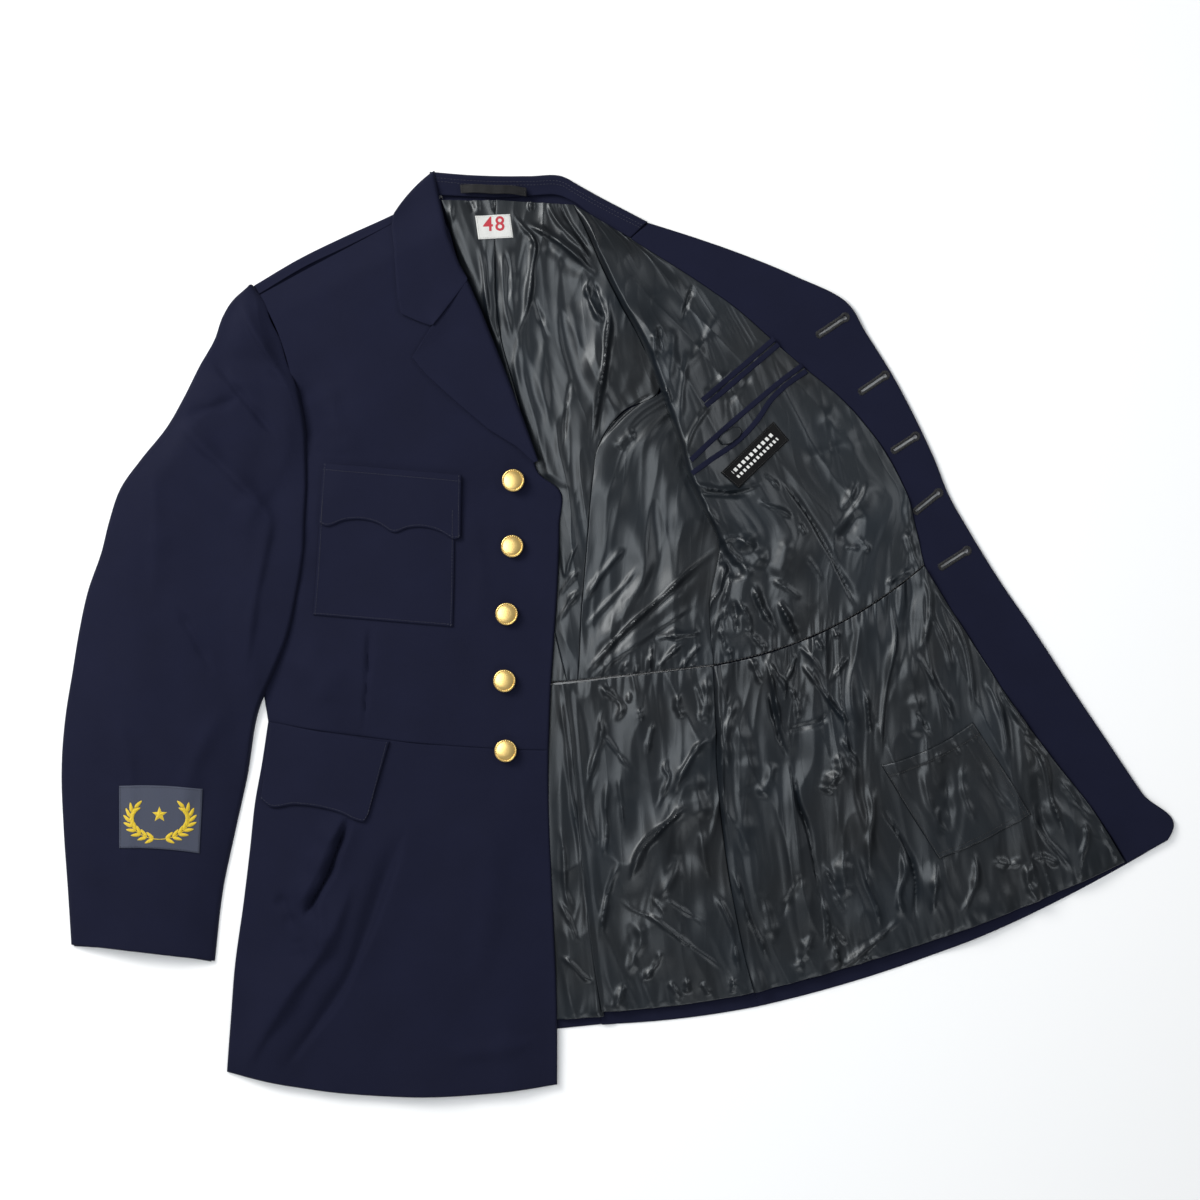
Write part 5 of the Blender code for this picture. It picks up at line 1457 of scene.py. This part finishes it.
class JACKET_OT_collar(bpy.types.Operator):
    """Make the collar, its stand and the lapels"""
    bl_idname = "jacket.collar"
    bl_label = "Collar and lapels"

    def execute(self, context):
        sizes = context.scene.jacket_sizes
        pitch, hidden = sizes.visible_pitch / MM, sizes.hidden_pitch / MM
        lay_cloth("collar_leaf", COLLAR_LEAF, on_lapel,
                  {"left": TURNED_EDGE, "right": (4.0, leaf_fold), "head": ROLLED_EDGE}, pitch, straight=True)
        lay_cloth("lapel_right", LAPEL_RIGHT, on_lapel,
                  {"left": TURNED_EDGE, "right": ROLLED_EDGE, "head": (0.8, 0.5)}, pitch, straight=True)
        lay_cloth("collar_stand", COLLAR_STAND, collar_stand,
                  {"left": (4.0, 6.0), "right": SEAM_EDGE, "head": SEAM_EDGE, "foot": SEAM_EDGE}, pitch)
        lay_cloth("collar_leaf_under", COLLAR_LEAF_UNDER, collar_leaf_under, {}, hidden)
        lay_cloth("lapel_left_under", LAPEL_LEFT_UNDER, on_surface, {}, hidden)
        return {"FINISHED"}


class JACKET_OT_sleeves(bpy.types.Operator):
    """Make both sleeves"""
    bl_idname = "jacket.sleeves"
    bl_label = "Sleeves"

    def execute(self, context):
        sizes = context.scene.jacket_sizes
        pitch, hidden = sizes.visible_pitch / MM, sizes.hidden_pitch / MM
        lay_cloth("under_sleeve_right", SLEEVE_RIGHT, under_sleeve, {"foot": (2.0, 1.4)}, hidden,
                  inset=(3, 3))
        lay_cloth("top_sleeve_right", SLEEVE_RIGHT, top_sleeve,
                  {"left": (4.5, 3.4), "right": (3.5, sleeve_drop), "foot": (2.5, 2.4)}, pitch)
        lay_cloth("under_sleeve_left", SLEEVE_LEFT, on_surface, {}, hidden)
        lay_cloth("top_sleeve_left", SLEEVE_LEFT, top_sleeve_left, {}, hidden)
        return {"FINISHED"}


class JACKET_OT_left_front(bpy.types.Operator):
    """Make the open left front: shell and facing"""
    bl_idname = "jacket.left_front"
    bl_label = "Left front"

    def execute(self, context):
        sizes = context.scene.jacket_sizes
        pitch, hidden = sizes.visible_pitch / MM, sizes.hidden_pitch / MM
        lay_cloth("front_left", shell_rows(FRONT_LEFT), front_left, {}, hidden / 2, inset=(0, 0.6))
        lay_cloth("front_skirt_left", shell_rows(FRONT_SKIRT_LEFT, SHELL_HEM_BOW), front_left,
                  {"foot": (2.0, 1.4)}, hidden / 2,
                  inset=(0, 0.6))
        lay_cloth("facing_left", facing_rows(FRONT_LEFT + FRONT_SKIRT_LEFT[1:]), facing,
                  {"left": SEAM_EDGE, "right": TURNED_EDGE, "head": SEAM_EDGE, "foot": TURNED_EDGE}, pitch)
        return {"FINISHED"}


class JACKET_OT_lining(bpy.types.Operator):
    """Make the satin lining"""
    bl_idname = "jacket.lining"
    bl_label = "Lining"

    def execute(self, context):
        pitch = context.scene.jacket_sizes.visible_pitch / MM * 0.7
        sides = {"left": FINE_EDGE, "right": FINE_EDGE}
        waist = {"foot": (1.4, 1.2)}
        below = {"head": (0.5, 0.1), "foot": FINE_EDGE}
        lay_cloth("lining_back_right", LINING_BACK_RIGHT, lining_back, sides | waist, pitch * 1.2, "satin")
        lay_cloth("lining_back_left", LINING_BACK_LEFT, lining_back, sides | waist, pitch, "satin")
        lay_cloth("lining_side_left", LINING_SIDE_LEFT, lining_back, {"left": FINE_EDGE} | waist, pitch,
                  "satin")
        lay_cloth("lining_skirt_back_right", LINING_SKIRT_BACK_RIGHT, lining_skirt_back, sides | below, pitch,
                  "satin")
        lay_cloth("lining_skirt_back_left", LINING_SKIRT_BACK_LEFT, lining_skirt_back, sides | below, pitch,
                  "satin",
                  inset=(-VENT_LAP, 0))
        lay_cloth("lining_front_left", lining_rows(FRONT_LEFT), lining_front_left,
                  {"left": (6.0, armhole_drop), "right": FINE_EDGE, "foot": (1.0, 0.6)}, pitch, "satin")
        lay_cloth("lining_skirt_front_left", lining_rows(FRONT_SKIRT_LEFT)[:-2] + [LINING_HEM],
                  lining_skirt_left,
                  {"left": (4.0, 1.5), "right": FINE_EDGE} | below, pitch, "satin")
        return {"FINISHED"}


class JACKET_OT_pockets(bpy.types.Operator):
    """Make the pockets and flaps, outside and inside"""
    bl_idname = "jacket.pockets"
    bl_label = "Pockets"

    def execute(self, context):
        pitch = context.scene.jacket_sizes.visible_pitch / MM
        all_round = {"left": (1.2, 2.2), "right": (1.2, 2.2), "head": (1.2, 2.2), "foot": (1.2, 2.2)}
        flap = {"left": SEAM_EDGE, "right": (1.8, 1.8), "head": (1.8, 1.8), "foot": (1.8, 1.8)}
        front = upper_face(bpy.data.objects["front_right_cloth"])
        lay_patch("chest_pocket", CHEST_POCKET, front, LIE + TRIM + 0.7, all_round, pitch / 1.5, "wool")
        lay_patch("chest_flap", CHEST_FLAP, front, 2 * LIE + TRIM + WOOL + 1.0, flap, pitch / 1.5, "wool",
                  wall=WOOL)
        skirt = upper_face(bpy.data.objects["front_skirt_right_cloth"], bpy.data.objects["front_right_cloth"])
        lay_patch("hip_flap", HIP_FLAP, skirt, LIE + WOOL + 1.2, flap, pitch / 1.5, "wool", even=12,
                  wall=WOOL)
        inner = upper_face(bpy.data.objects["lining_front_left_cloth"])
        for name, line in JETS.items():
            lay_patch(name, strip_rows(line, JET_WIDTH), inner, LIE + TRIM,
                      {"left": (1.0, 0.9), "right": (1.0, 0.9), "head": (1.0, 0.9), "foot": (1.0, 0.9)}, 1.2,
                      "wool",
                      even=60)
        tab = {"left": (1.2, 0.9), "right": (1.2, 0.9), "head": (1.2, 0.9), "foot": (1.2, 0.9)}
        lay_patch("pocket_tab", POCKET_TAB, inner, 2 * LIE + 2 * TRIM, tab, 1.2, "satin", even=30)
        hanging = upper_face(bpy.data.objects["lining_skirt_front_left_cloth"])
        lay_patch("inner_patch_pocket", INNER_POCKET, hanging, LIE + SATIN + 0.6,
                  {"left": (1.2, 1.6), "right": (1.2, 1.6), "head": (1.2, 1.4), "foot": (1.2, 1.6)}, 1.8,
                  "satin",
                  relief=lambda spot: creased(spot.x, spot.y, CREASES_POCKET) + pocket_hem(spot))
        return {"FINISHED"}


def pocket_hem(spot):
    """A stitched hem across the mouth of the inner pocket, puckered along its stitches."""
    band = 0.5 * smooth((13 - spot.head) / 2)
    pucker = 0.5 * ripple(spot.left / 5, spot.head / 30, 41) * np.exp(-((spot.head - 12) / 6) ** 2)
    foot = 0.5 * ripple(spot.left / 6, spot.head / 30, 42) * np.exp(-(spot.foot / 6) ** 2)
    return band + pucker + foot


class JACKET_OT_labels(bpy.types.Operator):
    """Make the hanger loop, the labels and the number on the white one"""
    bl_idname = "jacket.labels"
    bl_label = "Loop and labels"

    def execute(self, context):
        thin = {"left": (0.8, 0.5), "right": (0.8, 0.5), "head": (0.8, 0.5), "foot": (0.8, 0.5)}
        lay_cloth("hanger_loop", HANGER_LOOP, hanger_loop, thin, 1.6, "tape")
        behind = upper_face(bpy.data.objects["lining_back_left_cloth"],
                            bpy.data.objects["lining_back_right_cloth"])
        lay_patch("size_label", SIZE_LABEL, behind, 0.4 + TRIM, thin, 1.6, "label", even=10)
        inner = upper_face(bpy.data.objects["lining_front_left_cloth"])
        lay_patch("care_label", CARE_LABEL, inner, LIE + TRIM, thin, 1.6, "tape", even=4)
        care = bpy.data.objects["care_label_cloth"]
        care.data.materials[0] = bpy.data.materials["care label"]
        self.print_number(context)
        return {"FINISHED"}

    def print_number(self, context):
        """A plain number, laid on the white label."""
        deselect()
        bpy.ops.object.text_add()
        number = bpy.context.object
        number.data.body = context.scene.jacket_sizes.size_number
        number.data.size = 0.0185
        number.data.align_x = "CENTER"
        number.data.align_y = "CENTER"
        number.data.extrude = 0.0001
        number.data.offset = 0.0002
        number.data.space_character = 1.15
        number.data.resolution_u = 4
        bpy.ops.object.convert(target="MESH")
        number = chosen("size_label_number")
        label = upper_face(bpy.data.objects["size_label_cloth"])
        middle_x, middle_y, turn = -111.7, 374.4, math.radians(1.6)
        points = points_of(number)
        x = middle_x + points[:, 0] * math.cos(turn) - points[:, 1] * math.sin(turn)
        y = middle_y + points[:, 0] * math.sin(turn) + points[:, 1] * math.cos(turn)
        set_points(number, np.stack([x, y, label(x, y) + points[:, 2] + 0.05], 1))
        dress(number, "red print", [])


class JACKET_OT_badge(bpy.types.Operator):
    """Make the sleeve badge: a cloth patch with an embroidered star between two laurel sprays"""
    bl_idname = "jacket.badge"
    bl_label = "Sleeve badge"

    def execute(self, context):
        sleeve = upper_face(bpy.data.objects["top_sleeve_right_cloth"])
        edge = {"left": (1.2, 0.9), "right": (1.2, 0.9), "head": (1.2, 0.9), "foot": (1.2, 0.9)}
        lay_patch("sleeve_badge", SLEEVE_BADGE, sleeve, LIE + TRIM, edge, 2, "badge", even=4)
        patch = upper_face(bpy.data.objects["sleeve_badge_cloth"])
        leaves = []
        for mirror in (1, -1):
            for step in range(LEAF_PAIRS + 1):
                turn = math.radians(-78 + 112 * step / LEAF_PAIRS)
                x, y = LAUREL_HALF_WIDTH * math.cos(turn), LAUREL_HALF_HEIGHT * math.sin(turn)
                heading = math.atan2(LAUREL_HALF_HEIGHT * math.cos(turn), -LAUREL_HALF_WIDTH * math.sin(turn))
                for lean in ((0.62, -0.62) if step < LEAF_PAIRS else (0,)):
                    leaves.append((mirror * x, y, heading + lean if mirror > 0 else math.pi - heading - lean))
        self.embroider(leaves, patch)
        self.make_star(patch)
        stems = [[(mirror * LAUREL_HALF_WIDTH * math.cos(math.radians(turn)) + BADGE_MIDDLE[0],
                   LAUREL_HALF_HEIGHT * math.sin(math.radians(turn)) + BADGE_MIDDLE[1])
                  for turn in range(-104, 40, 6)] for mirror in (1, -1)]
        sew("sleeve_badge_stems", stems, patch, "yellow thread", 1.3, (2.6, 0.9, 0.9))
        return {"FINISHED"}

    def embroider(self, leaves, patch):
        """Leaves of laurel, one shape repeated for each."""
        deselect()
        bpy.ops.mesh.primitive_uv_sphere_add(segments=8, ring_count=6, radius=1)
        spray = chosen("sleeve_badge_laurel")
        shape = points_of(spray) * MM
        repeat(spray, len(leaves))
        reach = LEAF_LENGTH / 2 * (shape[:, 2] + 1)
        side = LEAF_WIDTH / 2 * shape[:, 0] * (1 - 0.35 * shape[:, 2])
        middle_x, middle_y, heading = (np.array(part) for part in zip(*leaves))
        x = BADGE_MIDDLE[0] + middle_x[:, None] + np.outer(np.cos(heading), reach) - np.outer(np.sin(heading),
                                                                                              side)
        y = BADGE_MIDDLE[1] + middle_y[:, None] + np.outer(np.sin(heading), reach) + np.outer(np.cos(heading),
                                                                                              side)
        rise = patch(x, y) + 0.15 + 0.75 * shape[:, 1]
        set_points(spray, np.stack([x, y, rise], 2).reshape(-1, 3))
        tidy_faces(spray)
        dress(spray, "yellow thread", [])

    def make_star(self, patch):
        """A five-pointed star with a ridge along each ray."""
        deselect()
        bpy.ops.mesh.primitive_cone_add(vertices=10, radius1=1, radius2=0, depth=2)
        star = chosen("sleeve_badge_star")
        shape = points_of(star) * MM
        turn = np.arctan2(shape[:, 0], shape[:, 1])
        ray = np.round(turn / (2 * math.pi) * 10).astype(int) % 2 == 0
        radius = np.hypot(shape[:, 0], shape[:, 1]) * np.where(ray, STAR_RADIUS, STAR_RADIUS * 0.42)
        x = BADGE_MIDDLE[0] + STAR_PLACE[0] + radius * np.sin(turn)
        y = BADGE_MIDDLE[1] + STAR_PLACE[1] + radius * np.cos(turn)
        set_points(star, np.stack([x, y, patch(x, y) + 0.4 + shape[:, 2] * 0.8], 1))
        dress(star, "yellow thread", [])


def tidy_faces(piece):
    """Faces outwards and smooth."""
    select_only(piece)
    bpy.ops.object.mode_set(mode="EDIT")
    bpy.ops.mesh.select_all(action="SELECT")
    bpy.ops.mesh.normals_make_consistent(inside=False)
    bpy.ops.object.mode_set(mode="OBJECT")
    bpy.ops.object.shade_smooth_by_angle(angle=math.radians(50))


class JACKET_OT_buttons(bpy.types.Operator):
    """Make the five buttons: a hammered dome in a roped rim, on a shank"""
    bl_idname = "jacket.buttons"
    bl_label = "Buttons"

    def execute(self, context):
        model = self.model_button()
        for number, (x, y) in enumerate(BUTTONS, 1):
            low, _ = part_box("button_%d" % number)
            button = model.copy()
            button.data = model.data.copy()
            bpy.context.scene.collection.objects.link(button)
            button.name = "button_%d_brass" % number
            points = points_of(model)
            turn = math.radians(37 * number)
            turned_x = points[:, 0] * math.cos(turn) - points[:, 1] * math.sin(turn)
            turned_y = points[:, 0] * math.sin(turn) + points[:, 1] * math.cos(turn)
            set_points(button, np.stack([x + turned_x, y + turned_y, low.z / MM + points[:, 2]], 1))
            dress(button, "brass", ["button_%d" % number])
        bpy.data.objects.remove(model)
        return {"FINISHED"}

    def model_button(self):
        deselect()
        first_radius, first_height = BUTTON_PROFILE[0]
        bpy.ops.mesh.primitive_circle_add(vertices=48, radius=first_radius * MM, fill_type="NGON")
        body = chosen("button")
        bpy.ops.object.mode_set(mode="EDIT")
        bpy.ops.mesh.select_all(action="SELECT")
        radius, height = first_radius, first_height
        for next_radius, next_height in BUTTON_PROFILE[1:]:
            bpy.ops.mesh.extrude_region_move(
                TRANSFORM_OT_translate={"value": (0, 0, (next_height - height) * MM)})
            share = next_radius / radius
            bpy.ops.transform.resize(value=(share, share, 1))
            radius, height = next_radius, next_height
        bpy.ops.object.mode_set(mode="OBJECT")
        deselect()
        bpy.ops.mesh.primitive_torus_add(major_radius=9.2 * MM, minor_radius=0.6 * MM, major_segments=160,
                                         minor_segments=8, location=(0, 0, 4.8 * MM))
        rope = chosen("rope")
        bpy.ops.object.transform_apply(location=True, rotation=True, scale=True)
        points = points_of(rope)
        around = np.arctan2(points[:, 1], points[:, 0])
        out, up = np.hypot(points[:, 0], points[:, 1]) - 9.2, points[:, 2] - 4.8
        swell = 1 + 0.3 * np.sin(2 * np.arctan2(up, out) + 30 * around)
        radius = 9.2 + out * swell
        set_points(rope, np.stack([radius * np.cos(around), radius * np.sin(around), 4.8 + up * swell], 1))
        body.select_set(True)
        bpy.context.view_layer.objects.active = body
        bpy.ops.object.join()
        tidy_faces(body)
        return body


class JACKET_OT_buttonholes(bpy.types.Operator):
    """Cut the five buttonholes through facing and front, and sew their edges with black thread"""
    bl_idname = "jacket.buttonholes"
    bl_label = "Buttonholes"

    def execute(self, context):
        facing_piece = bpy.data.objects["facing_left_cloth"]
        ground = upper_face(facing_piece)
        cutters = [self.make_cutter(slit) for slit in BUTTONHOLES]
        select_only(cutters[0])
        for cutter in cutters:
            cutter.select_set(True)
        bpy.ops.object.join()
        cutter = chosen("buttonhole_cutter")
        for piece in (facing_piece, bpy.data.objects["front_left_cloth"]):
            change = piece.modifiers.new("buttonholes", "BOOLEAN")
            change.object = cutter
            change.operation = "DIFFERENCE"
            change.solver = "EXACT"
            apply_modifiers(piece)
        bpy.data.objects.remove(cutter)
        lines = []
        for slit in BUTTONHOLES:
            line = keyhole(slit, 1.3)
            lines.append(line + line[:1])
        sew("buttonhole_thread", lines, ground, "black thread", 0.62, (3.3, 0.7, 0.9), across=True, lift=0.2)
        return {"FINISHED"}

    def make_cutter(self, slit):
        points = keyhole(slit, 0)
        deselect()
        bpy.ops.mesh.primitive_circle_add(vertices=len(points), radius=1, fill_type="NGON")
        cutter = chosen("cutter")
        shape = points_of(cutter)
        order = np.argsort(np.argsort(np.arctan2(shape[:, 1], shape[:, 0])))
        place = np.array(points)[order]
        set_points(cutter, np.stack([place[:, 0], place[:, 1], 0 * place[:, 0] - 5], 1))
        bpy.ops.object.mode_set(mode="EDIT")
        bpy.ops.mesh.select_all(action="SELECT")
        bpy.ops.mesh.extrude_region_move(TRANSFORM_OT_translate={"value": (0, 0, 0.05)})
        bpy.ops.mesh.select_all(action="SELECT")
        bpy.ops.mesh.normals_make_consistent(inside=False)
        bpy.ops.object.mode_set(mode="OBJECT")
        return cutter


class JACKET_OT_stitching(bpy.types.Operator):
    """Sew the topstitching and the edges of the labels"""
    bl_idname = "jacket.stitching"
    bl_label = "Stitching"

    def execute(self, context):
        length = context.scene.jacket_sizes.stitch_length / MM
        navy = (length, 0.55, 0.5)

        def on(*names):
            return upper_face(*[bpy.data.objects[name + "_cloth"] for name in names])

        flap = [side_of(CHEST_FLAP, "left", 6), side_of(CHEST_FLAP, "right", 2.2),
                side_of(CHEST_FLAP, "head", 2.2), side_of(CHEST_FLAP, "foot", 2.2)]
        sew("chest_flap_stitches", flap, on("chest_flap"), "navy thread", 3, navy)
        pocket = [side_of(CHEST_POCKET, edge, 2.2) for edge in ("left", "right", "foot")]
        sew("chest_pocket_stitches", pocket, on("chest_pocket", "chest_flap"), "navy thread", 3, navy)
        hip = [side_of(HIP_FLAP, "right", 2.2), side_of(HIP_FLAP, "foot", 2.2)]
        sew("hip_flap_stitches", hip, on("hip_flap"), "navy thread", 3, navy)
        stand = [side_of(COLLAR_STAND, "left", 6), side_of(COLLAR_STAND, "left", 9)]
        sew("collar_stand_stitches", stand, on("collar_stand", "hanger_loop"), "navy thread", 3, navy)
        badge = [side_of(SLEEVE_BADGE, edge, 1.4) for edge in ("left", "right", "head", "foot")]
        sew("sleeve_badge_stitches", badge, on("sleeve_badge"), "navy thread", 2.6, (2.0, 0.5, 0.5))
        white = [side_of(SIZE_LABEL, edge, 1.3) for edge in ("left", "right", "head", "foot")]
        sew("size_label_stitches", white, on("size_label"), "white thread", 1.8, (1.4, 0.45, 0.4))
        care = [side_of(CARE_LABEL, edge, 1.2) for edge in ("left", "right", "head", "foot")]
        sew("care_label_stitches", care, on("care_label"), "black thread", 2.0, (1.6, 0.45, 0.4))
        waist = [side_of(rows, "foot", 0.4)
                 for rows in (LINING_BACK_RIGHT, LINING_BACK_LEFT, LINING_SIDE_LEFT, lining_rows(FRONT_LEFT))]
        sew("waist_seam_stitches", waist,
            on("lining_back_right", "lining_back_left", "lining_side_left", "lining_front_left",
               "lining_skirt_back_right", "lining_skirt_back_left", "lining_skirt_front_left"),
            "black thread", 3.2, (2.9, 1.5, 0.6))
        inner = [side_of(INNER_POCKET, "head", 12), side_of(INNER_POCKET, "left", 1.6),
                 side_of(INNER_POCKET, "right", 1.6), side_of(INNER_POCKET, "right", 5),
                 side_of(INNER_POCKET, "foot", 1.6), side_of(INNER_POCKET, "foot", 5)]
        sew("inner_pocket_stitches", inner, on("inner_patch_pocket"), "charcoal thread", 2.4, (1.9, 0.7, 0.5))
        loop = [side_of(HANGER_LOOP, "head", 1.5), side_of(HANGER_LOOP, "foot", 1.5)]
        sew("hanger_loop_stitches", loop, on("hanger_loop"), "black thread", 1.4, (1.2, 0.5, 0.5))
        return {"FINISHED"}


class JACKET_OT_stage(bpy.types.Operator):
    """Set the floor, the lights and the camera"""
    bl_idname = "jacket.stage"
    bl_label = "Stage"

    def execute(self, context):
        deselect()
        bpy.ops.mesh.primitive_plane_add(size=14, location=(0, 0, -0.0002))
        floor = chosen("floor")
        floor_finish = Finish("floor", {"Roughness": 0.9, "Base Color": (0.93, 0.93, 0.93, 1),
                                        "Specular IOR Level": 0.1})
        floor.data.materials.append(floor_finish.material)
        for name, place, size, power, colour in LIGHTS:
            bpy.ops.object.light_add(type="AREA", location=place)
            lamp = bpy.context.object
            lamp.name = name
            lamp.data.shape = "RECTANGLE"
            lamp.data.size, lamp.data.size_y = size
            lamp.data.energy = power
            lamp.data.color = colour
            lamp.rotation_euler = (Vector((0, 0, 0)) - Vector(place)).to_track_quat("-Z", "Y").to_euler()
            lamp.visible_camera = False
        world = bpy.data.worlds.new("studio")
        world.use_nodes = True
        sky = world.node_tree.nodes["Background"]
        sky.inputs["Color"].default_value = (0.93, 0.96, 1.0, 1)
        sky.inputs["Strength"].default_value = SKY_STRENGTH
        context.scene.world = world
        bpy.ops.object.camera_add(location=CAMERA_PLACE, rotation=(0, 0, 0))
        camera = bpy.context.object
        camera.name = "camera"
        camera.data.lens = CAMERA_LENS
        camera.data.sensor_width = 36
        camera.data.clip_start = 0.01
        context.scene.camera = camera
        context.scene.view_settings.view_transform = "Standard"
        return {"FINISHED"}


class JACKET_PT_jacket(bpy.types.Panel):
    """The jacket's sizes, colours and pieces"""
    bl_idname = "JACKET_PT_jacket"
    bl_label = "Dress uniform jacket"
    bl_space_type = "VIEW_3D"
    bl_region_type = "UI"
    bl_category = "Jacket"

    def draw(self, context):
        for group in (context.scene.jacket_sizes, context.scene.jacket_colours):
            box = self.layout.box()
            for name in group.__annotations__:
                box.prop(group, name)
        for operator in OPERATORS:
            self.layout.operator(operator.bl_idname)


OPERATORS = [
    JACKET_OT_finishes, JACKET_OT_back, JACKET_OT_right_front, JACKET_OT_collar, JACKET_OT_sleeves,
    JACKET_OT_left_front, JACKET_OT_lining, JACKET_OT_pockets, JACKET_OT_labels, JACKET_OT_badge,
    JACKET_OT_buttons, JACKET_OT_buttonholes, JACKET_OT_stitching, JACKET_OT_stage,
]
CLASSES = [JacketSizes, JacketColours, *OPERATORS, JACKET_PT_jacket]


def register():
    for made in CLASSES:
        bpy.utils.register_class(made)
    bpy.types.Scene.jacket_sizes = PointerProperty(type=JacketSizes)
    bpy.types.Scene.jacket_colours = PointerProperty(type=JacketColours)


def unregister():
    del bpy.types.Scene.jacket_colours
    del bpy.types.Scene.jacket_sizes
    for made in reversed(CLASSES):
        bpy.utils.unregister_class(made)


def main():
    register()
    bpy.ops.jacket.finishes()
    bpy.ops.jacket.back()
    bpy.ops.jacket.right_front()
    bpy.ops.jacket.collar()
    bpy.ops.jacket.sleeves()
    bpy.ops.jacket.left_front()
    bpy.ops.jacket.lining()
    bpy.ops.jacket.pockets()
    bpy.ops.jacket.labels()
    bpy.ops.jacket.badge()
    bpy.ops.jacket.buttons()
    bpy.ops.jacket.buttonholes()
    bpy.ops.jacket.stitching()
    bpy.ops.jacket.stage()


if __name__ == "__main__":
    main()
